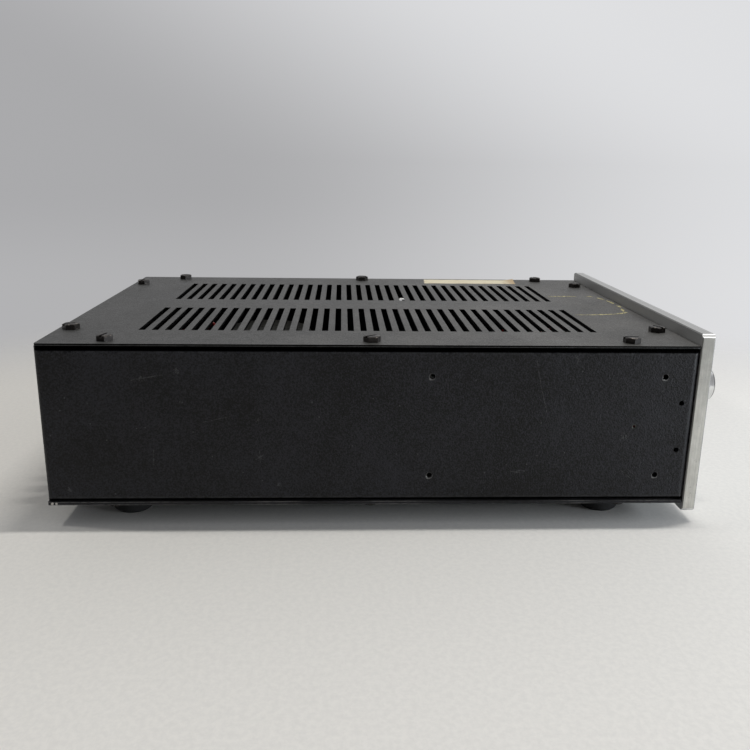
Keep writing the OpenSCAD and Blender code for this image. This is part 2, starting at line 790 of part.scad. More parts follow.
module foot_screws() {
    color("#8a8a8c") for (p = feet_xy) translate([p[0], p[1], foot_recess_h]) rotate([180, 0, 0])
        small_screw(foot_h - foot_recess_h + cover_t + screw_tail);
}

// Front controls. Their local z runs forward from the back of the sub-panel.

module control_bushing(reach) {
    cylinder(r = bushing_r, h = sheet_t + reach);
}

module shaft_bore(depth, reach) {
    translate([0, 0, -depth]) cylinder(r = shaft_r + shaft_gap, h = depth + sheet_t + reach + cut);
}

module potentiometer() {
    difference() {
        union() {
            translate([0, 0, -pot_len]) cylinder(r = pot_r, h = pot_len);
            control_bushing(bushing_len);
            for (i = [-1:1])
                translate([i * pot_lug_pitch - lug_w / 2, -pot_r - lug_len, -pot_len / 2])
                    cube([lug_w, lug_len + pot_r / 2, lug_t]);
        }
        shaft_bore(shaft_in + wide_gap, bushing_len);
    }
}

module rotary_switch() {
    wafer_t = 2;
    core_r = rotary_r - 3;
    difference() {
        union() {
            translate([0, 0, -rotary_len]) cylinder(r = core_r, h = rotary_len);
            for (z = [-wafer_t, -rotary_len]) translate([0, 0, z]) cylinder(r = rotary_r, h = wafer_t);
            control_bushing(bushing_len);
            for (i = [0:rotary_lugs - 1]) rotate(360 * i / rotary_lugs)
                translate([-lug_w / 2, core_r, -rotary_len + wafer_t / 2 - lug_t / 2])
                    cube([lug_w, rotary_r - core_r + wafer_lug, lug_t]);
        }
        shaft_bore(shaft_in + wide_gap, bushing_len);
    }
}

module selector_switch() {
    color("#8d8a80") at_front(knob_x[0], knob_z) rotary_switch();
}

module mode_switch() {
    color("#8d8a80") at_front(knob_x[1], knob_z) rotary_switch();
}

module balance_pot() {
    color("#9a9a9c") at_front(knob_x[2], knob_z) potentiometer();
}

module volume_pot() {
    color("#9a9a9c") at_front(knob_x[3], knob_z) potentiometer();
}

module bushing_nut() {
    translate([0, 0, sheet_t]) difference() {
        hexagon(nut_af, nut_t);
        translate([0, 0, -cut]) cylinder(r = bushing_r + thread_gap, h = nut_t + 2 * cut);
    }
}

module control_nuts() {
    color("#b0aa98") {
        for (x = knob_x) at_front(x, knob_z) bushing_nut();
        at_front(power_x, lower_z) bushing_nut();
    }
}

// Control shaft with a flat under the knob's set screw
module control_shaft(i) {
    flat_z = face_d + knob_gap;
    color("#a8a8a8") at_front(knob_x[i], knob_z) difference() {
        translate([0, 0, -shaft_in]) cylinder(r = shaft_r, h = shaft_in + shaft_tip);
        translate([-shaft_r, -2 * shaft_r + shaft_flat - cut, flat_z])
            cube([2 * shaft_r, shaft_r + cut, shaft_tip - flat_z + cut]);
    }
}

module selector_shaft() { control_shaft(0); }
module mode_shaft() { control_shaft(1); }
module balance_shaft() { control_shaft(2); }
module volume_shaft() { control_shaft(3); }

// Turned knob with a pointer line across its face and side
module control_knob(i) {
    low = face_d + knob_gap;
    high = face_d + knob_reach;
    foot = low + knob_foot;
    color("#cfd0d0") at_front(knob_x[i], knob_z) difference() {
        rotate_extrude() polygon([[0, low], [knob_r - knob_waist, low], [knob_r - knob_waist, foot],
            [knob_r, foot + knob_waist], [knob_r, high - knob_chamfer], [knob_r - knob_chamfer, high],
            [0, high]]);
        translate([0, 0, low - cut]) cylinder(r = knob_bore_r, h = shaft_tip - low + fit_gap + cut);
        translate([-knob_groove / 2, knob_r / 3, high - knob_groove])
            cube([knob_groove, knob_r, knob_groove + cut]);
        translate([-knob_groove / 2, knob_r - knob_groove, foot + knob_waist])
            cube([knob_groove, knob_r, knob_reach]);
        translate([0, 0, set_screw_d]) rotate([90, 0, 0])
            cylinder(r = set_screw_r + thread_gap, h = knob_r + cut);
    }
}

module selector_knob() { control_knob(0); }
module mode_knob() { control_knob(1); }
module balance_knob() { control_knob(2); }
module volume_knob() { control_knob(3); }

// Set screw from the shaft's flat to just under the knob's side, with a hexagon socket
module set_screw(i) {
    sunk = 0.6;
    inner = shaft_r - shaft_flat + thread_gap;
    outer = knob_r - sunk;
    socket_d = 1.6;
    color("#3a3a3c") at_front(knob_x[i], knob_z)
        translate([0, 0, set_screw_d]) rotate([90, 0, 0]) difference() {
            translate([0, 0, inner]) cylinder(r = set_screw_r, h = outer - inner);
            translate([0, 0, outer - socket_d]) hexagon(set_screw_r, socket_d + cut);
        }
}

module selector_set_screw() { set_screw(0); }
module mode_set_screw() { set_screw(1); }
module balance_set_screw() { set_screw(2); }
module volume_set_screw() { set_screw(3); }

// Toggle switch body with its threaded bushing and the hollow for its lever
module toggle_switch() {
    difference() {
        union() {
            translate([-toggle_body[0] / 2, -toggle_body[1] / 2, -toggle_body[2]]) cube(toggle_body);
            cylinder(r = toggle_r, h = face_d + toggle_proud);
            for (i = [-1:1])
                translate([-lug_w / 2, i * pot_lug_pitch - lug_t / 2, -toggle_body[2] - lug_len])
                    cube([lug_w, lug_t, lug_len + cut]);
        }
        translate([0, 0, toggle_pivot - lever_tail - toggle_bore_tail])
            cylinder(r = toggle_bore_r, h = lever_tail + toggle_bore_tail + toggle_ball_sunk + cut);
    }
}

module toggle_switches() {
    color("#7c1f22") for (x = toggle_x) at_front(x, lower_z) toggle_switch();
}

module toggle_nuts() {
    color("#c9c9c7") for (x = toggle_x) at_front(x, lower_z) translate([0, 0, face_d]) difference() {
        hexagon(toggle_nut_af, toggle_nut_t);
        translate([0, 0, -cut]) cylinder(r = toggle_r + thread_gap, h = toggle_nut_t + 2 * cut);
    }
}

// Toggle lever, tilted down by half its swing
module toggle_lever(i) {
    color("#d4d4d2") at_front(toggle_x[i], lower_z) translate([0, 0, toggle_pivot])
        rotate([lever_swing / 2, 0, 0]) {
            sphere(ball_r);
            cylinder(r1 = lever_neck_r, r2 = lever_tip_r, h = lever_len);
            translate([0, 0, lever_len]) sphere(lever_tip_r);
            translate([0, 0, -lever_tail]) cylinder(r = lever_tail_r, h = lever_tail);
        }
}

module tape_lever() { toggle_lever(0); }
module filter_lever() { toggle_lever(1); }
module mute_lever() { toggle_lever(2); }

module power_switch() {
    color("#2a2a2c") at_front(power_x, lower_z) difference() {
        union() {
            translate([-button_body[0] / 2, -button_body[1] / 2, -button_body[2]]) cube(button_body);
            control_bushing(button_bushing);
            for (s = [-1, 1])
                translate([s * pot_lug_pitch - lug_t / 2, -lug_w / 2, -button_body[2] - lug_len])
                    cube([lug_t, lug_w, lug_len + cut]);
        }
        shaft_bore(button_in + button_travel + wide_gap, button_bushing);
    }
}

// Push button: a stem in the switch's bushing and a domed cap in front of it
module power_button() {
    edge = 0.8;
    low = face_d + button_cap_back;
    high = face_d + button_reach;
    color("#cfd0d0") at_front(power_x, lower_z) {
        translate([0, 0, -button_in]) cylinder(r = shaft_r, h = button_in + low + cut);
        rotate_extrude() polygon([[0, low], [button_r, low], [button_r, high - edge],
            [button_r - edge, high], [0, high]]);
    }
}

module power_lamp() {
    color("#b3261e") at_front(lamp_x, lower_z) {
        translate([0, 0, sheet_t]) cylinder(r = lamp_r, h = face_d - sheet_t + lamp_proud);
        translate([0, 0, face_d + lamp_proud]) sphere(lamp_r);
        translate([0, 0, sheet_t]) cylinder(r = lamp_flange_r, h = lamp_flange_t);
    }
}

// Rear sockets. Their local z runs rearward from the rear panel's outer face.

module jack_shells() {
    color("#c8bfa0") for (p = jack_xz) at_rear(p[0], p[1]) difference() {
        union() {
            translate([0, 0, jack_ring_t]) cylinder(r = jack_flange_r, h = jack_flange_t);
            translate([0, 0, jack_ring_t]) cylinder(r = jack_r, h = jack_len - jack_ring_t);
        }
        cylinder(r = jack_core_r + thread_gap, h = jack_len + cut);
    }
}

module jack_insulators() {
    color("#5a1b1b") for (p = jack_xz) at_rear(p[0], p[1]) difference() {
        union() {
            cylinder(r = jack_ring_r, h = jack_ring_t);
            cylinder(r = jack_core_r, h = jack_len - jack_recess / 2);
            translate([0, 0, -sheet_t - jack_back])
                cylinder(r = jack_hole_r - hole_gap, h = sheet_t + jack_back);
        }
        translate([0, 0, -sheet_t])
            cylinder(r = jack_pin_r + jack_pin_wall + thread_gap, h = jack_len + sheet_t + cut);
    }
}

module jack_contacts() {
    color("#c8bfa0") for (p = jack_xz) at_rear(p[0], p[1]) translate([0, 0, -sheet_t]) difference() {
        cylinder(r = jack_pin_r + jack_pin_wall, h = jack_len + sheet_t - jack_recess);
        translate([0, 0, jack_pin_floor]) cylinder(r = jack_pin_r, h = jack_len + sheet_t);
    }
}

module jack_board() {
    w = (jack_columns - 1) * jack_pitch + 2 * jack_board_margin;
    h = jack_row_pitch + 2 * jack_board_margin;
    color("#2f5a35") at_rear(jack_x, frame_mid) translate([-w / 2, -h / 2, -sheet_t - jack_back - board_t])
        cube([w, h, board_t]);
}

module ground_screw() {
    color("#b9b49f") at_rear(ground_x, ground_z) rotate(slot_turn) hex_screw(cover_screw_len);
}

// Outline of the mains inlet's mouth, with two corners cut off
module inlet_outline(size) {
    w = size[0] / 2;
    h = size[1] / 2;
    c = inlet_corner;
    polygon([[-w, h], [w, h], [w, c - h], [w - c, -h], [c - w, -h], [-w, c - h]]);
}

module mains_inlet() {
    color("#1b1b1d") at_inlet() difference() {
        union() {
            translate([-inlet_flange_h / 2, -inlet_flange_w / 2, 0])
                cube([inlet_flange_h, inlet_flange_w, inlet_flange_t]);
            translate([-inlet_body[0] / 2, -inlet_body[1] / 2, -sheet_t - inlet_back])
                cube([inlet_body[0], inlet_body[1], sheet_t + inlet_back + cut]);
        }
        translate([0, 0, inlet_floor - sheet_t - inlet_back])
            linear_extrude(sheet_t + inlet_back + inlet_flange_t) inlet_outline(inlet_mouth);
        for (b = inlet_blades) translate([b[0], b[1], -sheet_t - inlet_back - cut])
            linear_extrude(inlet_floor + 2 * cut)
                square([inlet_blade[0] + 2 * thread_gap, inlet_blade[1] + 2 * thread_gap], center = true);
        for (s = [-1, 1]) translate([s * inlet_screw_pitch / 2, 0, -cut])
            cylinder(r = small_hole_r, h = inlet_flange_t + 2 * cut);
    }
}

module inlet_pins() {
    back = sheet_t + inlet_back + inlet_tab;
    color("#b9b49f") at_inlet() for (b = inlet_blades) translate([b[0], b[1], -back])
        linear_extrude(back + inlet_flange_t - inlet_recess) square(inlet_blade, center = true);
}

module inlet_screws() {
    color("#4a4a4c") at_inlet() for (s = [-1, 1]) translate([s * inlet_screw_pitch / 2, 0, inlet_flange_t])
        small_screw(inlet_flange_t + sheet_t + screw_tail);
}

// Electronics

module main_board() {
    color("#2f5a35") difference() {
        translate([-board_w / 2, board_front_y, board_z])
            cube([board_w, board_rear_y - board_front_y, board_t]);
        for (p = board_screw_xy) translate([p[0], p[1], board_z - cut])
            cylinder(r = small_hole_r, h = board_t + 2 * cut);
    }
}

module board_standoffs() {
    color("#c2b280") for (p = board_screw_xy) translate([p[0], p[1], frame_z]) difference() {
        hexagon(standoff_af, standoff_h);
        translate([0, 0, standoff_floor]) cylinder(r = standoff_bore_r, h = standoff_h);
    }
}

// Three places around the can, on its flange
module can_screw_places() {
    for (a = can_screw_turns)
        translate([can_x, can_y, 0]) rotate(a) translate([can_screw_r, 0, 0]) children();
}

module inner_screws() {
    color("#8a8a8c") {
        for (p = board_screw_xy) translate([p[0], p[1], board_top])
            small_screw(board_t + standoff_h - 2 * standoff_floor);
        can_screw_places() translate([0, 0, frame_z + can_wall]) small_screw(can_wall + cover_t);
    }
}

module film_capacitors() {
    color("#a8261f") for (d = film_d, i = [0:3]) on_board(film_x + i * film_pitch, d)
        translate([-film_size[0] / 2, -film_size[1] / 2, 0]) cube(film_size);
}

module capacitor_can(r, h) {
    edge = 0.8;
    rotate_extrude() polygon([[0, 0], [r, 0], [r, h - edge], [r - edge, h], [0, h]]);
}

module electrolytic_capacitors() {
    color("#22304a") {
        for (i = [0:4]) on_board(film_x + i * film_pitch, small_cap_d)
            capacitor_can(small_cap_r, small_cap_h);
        for (x = supply_x) on_board(x, filter_cap_d) capacitor_can(filter_cap_r, filter_cap_h);
    }
}

module board_chips() {
    color("#1c1c1e") {
        for (i = [0:3]) on_board(film_x + i * film_pitch, chip_d)
            translate([-chip_size[0] / 2, -chip_size[1] / 2, 0]) cube(chip_size);
        for (x = supply_x) on_board(x, sink_d)
            translate([-regulator_size[0] / 2, -regulator_size[1], 0]) cube(regulator_size);
    }
}

module resistors() {
    color("#c9a97a") for (d = resistor_d, i = [0:9]) on_board(film_x + i * resistor_pitch, d)
        translate([0, -resistor_len / 2, resistor_r]) rotate([-90, 0, 0])
            cylinder(r = resistor_r, h = resistor_len);
}

// Finned heat sink with its flat back against the regulator
module heat_sinks() {
    fins = 5;
    step = (sink_size[0] - sink_fin) / (fins - 1);
    color("#303032") for (x = supply_x) on_board(x, sink_d) translate([-sink_size[0] / 2, 0, 0]) {
        cube([sink_size[0], sink_fin, sink_size[2]]);
        for (i = [0:fins - 1]) translate([i * step, 0, 0]) cube([sink_fin, sink_size[1], sink_size[2]]);
    }
}

// Glass fuse between two end clips on the main board
module mains_fuse() {
    cap_len = 5;
    cap_r = fuse_r + 0.3;
    color("#c9c3ae") on_board(fuse_x, fuse_d) {
        for (y = [0, fuse_len - cap_len]) translate([0, y, 0]) {
            translate([0, 0, fuse_lift + fuse_r]) rotate([-90, 0, 0]) cylinder(r = cap_r, h = cap_len);
            translate([-fuse_r, 0, 0]) cube([2 * fuse_r, cap_len, fuse_lift + fuse_r]);
        }
        translate([0, cap_len - cut, fuse_lift + fuse_r]) rotate([-90, 0, 0])
            cylinder(r = fuse_r, h = fuse_len - 2 * cap_len + 2 * cut);
    }
}

// Half outline of a can: a rectangle with its upper outer corner rounded
module can_half(r, h, edge) {
    square([r - edge, h]);
    square([r, h - edge]);
    translate([r - edge, h - edge]) circle(edge);
}

module transformer_can() {
    color("#77787a") translate([can_x, can_y, frame_z]) difference() {
        union() {
            rotate_extrude() can_half(can_r, can_h, can_edge_r);
            cylinder(r = can_flange_r, h = can_wall);
        }
        translate([0, 0, -cut]) rotate_extrude()
            can_half(can_r - can_wall, can_h - can_wall + cut, can_edge_r - can_wall);
        for (a = can_screw_turns) rotate(a) translate([can_screw_r, 0, -cut])
            cylinder(r = small_hole_r, h = can_wall + 2 * cut);
    }
}

module transformer() {
    edge = 6;
    color("#b08a3a") translate([can_x, can_y, frame_z]) rotate_extrude() difference() {
        can_half(coil_r, coil_h, edge);
        translate([-cut, -cut]) square([coil_bore_r + cut, coil_h + 2 * cut]);
    }
}

module red_leads() {
    color("#a8261f") for (route = [inlet_route, supply_route, volume_route]) lead(route, red_lead_r);
}

module signal_lead() {
    color("#8c8c8e") lead(signal_route, grey_lead_r);
}

left_side_panel();
right_side_panel();
rear_panel();
front_subpanel();
front_panel();
top_cover();
bottom_cover();
top_cover_screws();
bottom_cover_screws();
rear_panel_screws();
front_panel_screws();
clinch_nuts();
feet();
foot_screws();
selector_switch();
mode_switch();
balance_pot();
volume_pot();
control_nuts();
selector_shaft();
mode_shaft();
balance_shaft();
volume_shaft();
selector_knob();
mode_knob();
balance_knob();
volume_knob();
selector_set_screw();
mode_set_screw();
balance_set_screw();
volume_set_screw();
toggle_switches();
toggle_nuts();
tape_lever();
filter_lever();
mute_lever();
power_switch();
power_button();
power_lamp();
jack_shells();
jack_insulators();
jack_contacts();
jack_board();
ground_screw();
mains_inlet();
inlet_pins();
inlet_screws();
main_board();
board_standoffs();
inner_screws();
film_capacitors();
electrolytic_capacitors();
board_chips();
resistors();
heat_sinks();
mains_fuse();
transformer_can();
transformer();
red_leads();
signal_lead();
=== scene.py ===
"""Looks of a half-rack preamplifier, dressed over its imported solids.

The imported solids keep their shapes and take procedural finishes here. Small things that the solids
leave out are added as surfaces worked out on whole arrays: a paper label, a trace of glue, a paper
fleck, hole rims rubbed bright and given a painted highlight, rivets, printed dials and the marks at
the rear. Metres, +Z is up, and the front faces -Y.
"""

import json
import logging
import math
from collections.abc import Callable
from dataclasses import dataclass, field
from enum import Enum
from functools import partial, reduce

import bpy
import numpy as np
from mathutils import Matrix, Vector

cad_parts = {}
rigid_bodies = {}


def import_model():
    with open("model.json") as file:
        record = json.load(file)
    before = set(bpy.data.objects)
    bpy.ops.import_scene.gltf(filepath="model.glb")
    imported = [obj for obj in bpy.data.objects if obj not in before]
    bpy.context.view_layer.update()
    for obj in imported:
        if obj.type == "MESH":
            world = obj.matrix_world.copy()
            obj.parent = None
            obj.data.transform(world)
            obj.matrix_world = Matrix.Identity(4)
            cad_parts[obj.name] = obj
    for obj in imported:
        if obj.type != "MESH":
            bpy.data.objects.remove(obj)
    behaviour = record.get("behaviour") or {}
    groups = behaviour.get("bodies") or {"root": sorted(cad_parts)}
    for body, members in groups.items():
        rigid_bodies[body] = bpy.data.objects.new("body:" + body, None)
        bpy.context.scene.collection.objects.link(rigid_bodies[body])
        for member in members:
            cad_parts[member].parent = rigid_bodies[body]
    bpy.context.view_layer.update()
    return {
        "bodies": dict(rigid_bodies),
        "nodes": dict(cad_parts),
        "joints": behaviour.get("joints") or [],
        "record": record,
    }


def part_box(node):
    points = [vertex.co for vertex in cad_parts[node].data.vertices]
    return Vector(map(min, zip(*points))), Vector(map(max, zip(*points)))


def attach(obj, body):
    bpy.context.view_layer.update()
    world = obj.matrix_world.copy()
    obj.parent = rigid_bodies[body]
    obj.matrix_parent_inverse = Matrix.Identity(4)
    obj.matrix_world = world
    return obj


LOG = logging.getLogger("preamplifier")
MM = 0.001

Pair = tuple[float, float]
Colour = tuple[float, float, float]
Point = tuple[float, float, float]
Word = tuple[str, Point, float]
Surface = tuple[np.ndarray, np.ndarray]
Socket = bpy.types.NodeSocket

# Where soft noise mostly lies, and where a face counts as facing along an axis
SPREAD: Pair = (0.3, 0.7)
FACING: Pair = (0.8, 0.95)
# Ends of a ramp that falls
FALL: Pair = (1.0, 0.0)
# How far print stands off the face that carries it, in millimetres
PRINT_GAP = 0.03

DUST_GREY: Colour = (0.3, 0.29, 0.27)
# Grey of real scuffs, also of the painted highlight beside the seams
SCUFF_AND_HIGHLIGHT_GREY: Colour = (0.15, 0.15, 0.15)
BARE_STEEL: Colour = (0.5, 0.48, 0.45)
# Near-black of the painted shade in seams and vents
PAINTED_SHADE_BLACK: Colour = (0.0012, 0.0012, 0.0012)
# Bright of worn edges, also of the painted highlight on cut corners
WORN_AND_HIGHLIGHT: Colour = (0.86, 0.86, 0.85)


class Signal:
    """Output of a shader node, on which plain arithmetic adds further nodes."""

    def __init__(self, graph: "Graph", socket: Socket) -> None:
        """Keep the output and the graph that it belongs to."""
        self.graph = graph
        self.socket = socket

    def __add__(self, other: "Value") -> "Signal":
        """Sum of two numbers."""
        return self.graph.math("ADD", self, other)

    def __sub__(self, other: "Value") -> "Signal":
        """Difference of two numbers."""
        return self.graph.math("SUBTRACT", self, other)

    def __rsub__(self, other: float) -> "Signal":
        """What this number leaves of a plain one."""
        return self.graph.math("SUBTRACT", other, self)

    def __mul__(self, other: "Value") -> "Signal":
        """Product of two numbers."""
        return self.graph.math("MULTIPLY", self, other)

    def __gt__(self, limit: "Value") -> "Signal":
        """1 where the number is above a limit, and 0 elsewhere."""
        return self.graph.math("GREATER_THAN", self, limit)

    def __lt__(self, limit: "Value") -> "Signal":
        """1 where the number is below a limit, and 0 elsewhere."""
        return self.graph.math("LESS_THAN", self, limit)

    def __abs__(self) -> "Signal":
        """The number without its sign."""
        return self.graph.math("ABSOLUTE", self)


Value = float | Colour | Signal
Inputs = dict[str | int, Value]
Axes = tuple[Signal, Signal, Signal]


class Graph:
    """Adds and links the nodes of one shader tree."""

    def __init__(self, tree: bpy.types.NodeTree) -> None:
        """Keep the tree that the nodes go into."""
        self.tree = tree

    def put(self, socket: Socket, value: Value) -> None:
        """Link a signal to an input, or set the input's own value.

        Args:
            socket: The input.
            value: A number, a colour, a vector or another node's output.
        """
        if isinstance(value, Signal):
            self.tree.links.new(value.socket, socket)
        elif socket.type == "RGBA":
            socket.default_value = (*value, 1.0)
        else:
            socket.default_value = value

    def node(self, kind: str, inputs: Inputs | None = None, **settings: object) -> bpy.types.Node:
        """Add a node.

        Args:
            kind: The node's type, without its ShaderNode prefix.
            inputs: Values by the input's name or number.
            settings: Properties of the node itself.

        Returns:
            The new node.
        """
        node = self.tree.nodes.new("ShaderNode" + kind)
        for key, value in settings.items():
            setattr(node, key, value)
        for key, value in (inputs or {}).items():
            self.put(node.inputs[key], value)
        return node

    def read(self, node: bpy.types.Node, output: str | int) -> Signal:
        """One output of a node."""
        return Signal(self, node.outputs[output])

    def add(self, kind: str, inputs: Inputs | None = None, output: str | int = 0,
            **settings: object) -> Signal:
        """Add a node and read one of its outputs, by name or number."""
        return self.read(self.node(kind, inputs, **settings), output)

    def math(self, operation: str, a: Value, b: Value = 0.0, clamp: bool = False) -> Signal:
        """Number worked out from one or two others, kept between 0 and 1 if clamped."""
        return self.add("Math", {0: a, 1: b}, operation=operation, use_clamp=clamp)

    def highest(self, *values: Value) -> Signal:
        """The largest of several numbers."""
        return reduce(partial(self.math, "MAXIMUM"), values)

    def lowest(self, *values: Value) -> Signal:
        """The smallest of several numbers."""
        return reduce(partial(self.math, "MINIMUM"), values)

    def near(self, distance: Signal, reach: Value) -> Signal:
        """Closeness: 1 at no distance, falling evenly to 0 at the reach and beyond."""
        return self.math("SUBTRACT", 1.0, self.math("DIVIDE", distance, reach), clamp=True)

    def vector(self, operation: str, a: Value, b: Value = (0.0, 0.0, 0.0)) -> Signal:
        """Vector worked out from one or two others, or a number where the operation gives one."""
        output = "Value" if operation in ("DOT_PRODUCT", "DISTANCE") else "Vector"
        return self.add("VectorMath", {0: a, 1: b}, output, operation=operation)

    def axes(self, vector: Value) -> Axes:
        """The three parts of a vector."""
        node = self.node("SeparateXYZ", {0: vector})
        return self.read(node, 0), self.read(node, 1), self.read(node, 2)

    def normal(self) -> Signal:
        """Which way the surface faces, in the piece's own axes."""
        return self.add("TexCoord", output="Normal")

    def inset(self, place: Value, low: Value, high: Value) -> Axes:
        """How far a place lies inside a box.

        Args:
            place: The place.
            low: Low corner of the box.
            high: High corner of the box.

        Returns:
            Distances to the nearest faces along x, y and z.
        """
        to_low = self.vector("SUBTRACT", place, low)
        to_high = self.vector("SUBTRACT", high, place)
        return self.axes(self.vector("MINIMUM", to_low, to_high))

    def mix(self, factor: Value, a: Value, b: Value, blend: str = "MIX") -> Signal:
        """Colour between two others, with the factor as the second one's share."""
        inputs = {0: factor, 6: a, 7: b}
        return self.add("Mix", inputs, 2, data_type="RGBA", blend_type=blend)

    def ramp(self, value: Value, band: Pair, ends: Pair = (0.0, 1.0)) -> Signal:
        """Number eased from one end to the other while a value crosses a band."""
        inputs = {"Value": value, "From Min": band[0], "From Max": band[1],
                  "To Min": ends[0], "To Max": ends[1]}
        return self.add("MapRange", inputs, interpolation_type="SMOOTHSTEP")

    def noise(self, place: Value, scale: Value, detail: float = 2.0, rough: float = 0.5) -> Signal:
        """Soft noise between 0 and 1, in scale features to a metre with finer layers on top."""
        inputs = {"Vector": place, "Scale": scale, "Detail": detail, "Roughness": rough}
        return self.add("TexNoise", inputs)


class Shader(Graph):
    """Graph of a material with one Principled BSDF."""

    def __init__(self, name: str) -> None:
        """Start the material.

        Args:
            name: Its name.
        """
        self.material = bpy.data.materials.new(name)
        self.material.use_nodes = True
        super().__init__(self.material.node_tree)
        self.bsdf = self.tree.nodes["Principled BSDF"]
        self.place = self.add("TexCoord", output="Object")

    def feed(self, name: str, value: Value) -> None:
        """Feed one input of the Principled BSDF."""
        self.put(self.bsdf.inputs[name], value)

    def surface(self, colour: Value, rough: Value, metal: Value = 0.0) -> None:
        """Feed what each finish has.

        Args:
            colour: Base colour.
            rough: Roughness.
            metal: 1 for metal and 0 for everything else.
        """
        self.feed("Base Color", colour)
        self.feed("Roughness", rough)
        self.feed("Metallic", metal)

    def bump(self, height: Signal, depth: float) -> None:
        """Raise the surface by a height between 0 and 1, with the depth of 1 in metres."""
        inputs = {"Height": height, "Distance": depth, "Strength": 1.0}
        self.feed("Normal", self.add("Bump", inputs))


Layout = Callable[..., dict[str, Signal]]


class Kind(Enum):
    """Socket types of a shared effect."""

    NUMBER = "NodeSocketFloat"
    VECTOR = "NodeSocketVector"


@dataclass(frozen=True)
class Effect:
    """A shared shader effect, kept as one node group that is named after its layout.

    Attributes:
        inputs: Names and kinds of what it reads.
        layout: Lays out its nodes, from its inputs to its outputs by name.
    """

    inputs: dict[str, Kind]
    layout: Layout

    def tree(self) -> bpy.types.NodeTree:
        """The node group, built the first time that it is asked for.

        Returns:
            The group.
        """
        name = self.layout.__name__
        if name in bpy.data.node_groups:
            return bpy.data.node_groups[name]
        tree = bpy.data.node_groups.new(name, "ShaderNodeTree")
        graph = Graph(tree)
        for label, kind in self.inputs.items():
            tree.interface.new_socket(label, in_out="INPUT", socket_type=kind.value)
        start = tree.nodes.new("NodeGroupInput")
        results = self.layout(graph, **{label: graph.read(start, label) for label in self.inputs})
        for label in results:
            tree.interface.new_socket(label, in_out="OUTPUT", socket_type=Kind.NUMBER.value)
        end = tree.nodes.new("NodeGroupOutput")
        for label, result in results.items():
            graph.put(end.inputs[label], result)
        return tree

    def __call__(self, shader: Shader, **inputs: Value) -> dict[str, Signal]:
        """Outputs of the effect in a material, whose own place it reads unless another is given."""
        node = shader.node("Group", {"place": shader.place, **inputs}, node_tree=self.tree())
        return {socket.name: Signal(shader, socket) for socket in node.outputs}


def effect(**inputs: Kind) -> Callable[[Layout], Effect]:
    """Decorator that makes a layout a shared effect with these inputs."""
    return partial(Effect, inputs)


@effect(place=Kind.VECTOR, scale=Kind.NUMBER)
def paint_grain(graph: Graph, place: Signal, scale: Signal) -> dict[str, Signal]:
    """Pebbled paint: rounded cells with finer noise over them, and a slower drift of tone.

    Args:
        graph: The group's graph.
        place: Where the grain is read.
        scale: Grains to a metre.

    Returns:
        Height of the grain, and its tone.
    """
    inputs = {"Vector": place, "Scale": scale}
    cells = graph.add("TexVoronoi", inputs, "Distance", feature="SMOOTH_F1")
    fine = graph.noise(place, scale * 1.7)
    drift = graph.noise(place, scale * 0.03, 4.0, 0.6)
    speckle = graph.noise(place, scale * 1.5, 2.0, 0.7)
    return {"height": fine - cells * 0.55, "tone": drift * 0.25 + speckle * 0.75}


@effect(place=Kind.VECTOR, low=Kind.VECTOR, high=Kind.VECTOR, width=Kind.NUMBER)
def edge_wear(graph: Graph, place: Signal, low: Signal, high: Signal,
              width: Signal) -> dict[str, Signal]:
    """Wear along the edges of a box.

    A point of the box lies on one face, so the second smallest of its distances to the faces along
    x, y and z is its distance to the nearest edge. Noise breaks the worn line up.

    Args:
        graph: The group's graph.
        place: Where the wear is read.
        low: Low corner of the box.
        high: High corner of the box.
        width: Width of the worn line.

    Returns:
        Mask of the wear.
    """
    x, y, z = graph.inset(place, low, high)
    distance = graph.highest(graph.lowest(x, y), graph.lowest(graph.highest(x, y), z))
    ragged = graph.noise(place, 420.0, 4.0, 0.7)
    patchy = graph.ramp(graph.noise(place, 28.0, 3.0), (0.42, 0.66))
    worn = graph.ramp(graph.near(distance, width) * ragged, (0.26, 0.42))
    return {"mask": worn * patchy}


@effect(place=Kind.VECTOR, start=Kind.VECTOR, end=Kind.VECTOR, width=Kind.NUMBER)
def scratch(graph: Graph, place: Signal, start: Signal, end: Signal,
            width: Signal) -> dict[str, Signal]:
    """A scratch: points close to a straight line, broken up by noise.

    Args:
        graph: The group's graph.
        place: Where the scratch is read.
        start: One end of the line.
        end: Its other end.
        width: Width of the scratch.

    Returns:
        Mask of the scratch.
    """
    along = graph.vector("SUBTRACT", end, start)
    reach = graph.vector("SUBTRACT", place, start)
    dot = graph.vector("DOT_PRODUCT", reach, along)
    square = graph.vector("DOT_PRODUCT", along, along)
    share = graph.math("DIVIDE", dot, square, clamp=True)
    foot = graph.add("VectorMath", {0: along, "Scale": share}, operation="SCALE")
    broken = graph.ramp(graph.noise(place, 650.0, 3.0, 0.7), (0.36, 0.6))
    return {"mask": graph.near(graph.vector("DISTANCE", reach, foot), width) * broken}


@effect(place=Kind.VECTOR, centre=Kind.VECTOR, radius=Kind.NUMBER, solid=Kind.NUMBER)
def scuff(graph: Graph, place: Signal, centre: Signal, radius: Signal,
          solid: Signal) -> dict[str, Signal]:
    """A scuffed or chipped spot: specks that thin out from its centre to its radius.

    Args:
        graph: The group's graph.
        place: Where the spot is read.
        centre: Its centre.
        radius: Its radius.
        solid: How far the specks join near the centre.

    Returns:
        Mask of the specks.
    """
    near = graph.near(graph.vector("DISTANCE", place, centre), radius)
    dots = graph.noise(place, 1150.0, 2.0, 0.8) + solid
    return {"mask": graph.ramp(graph.math("SQRT", near) * dots, (0.4, 0.58))}


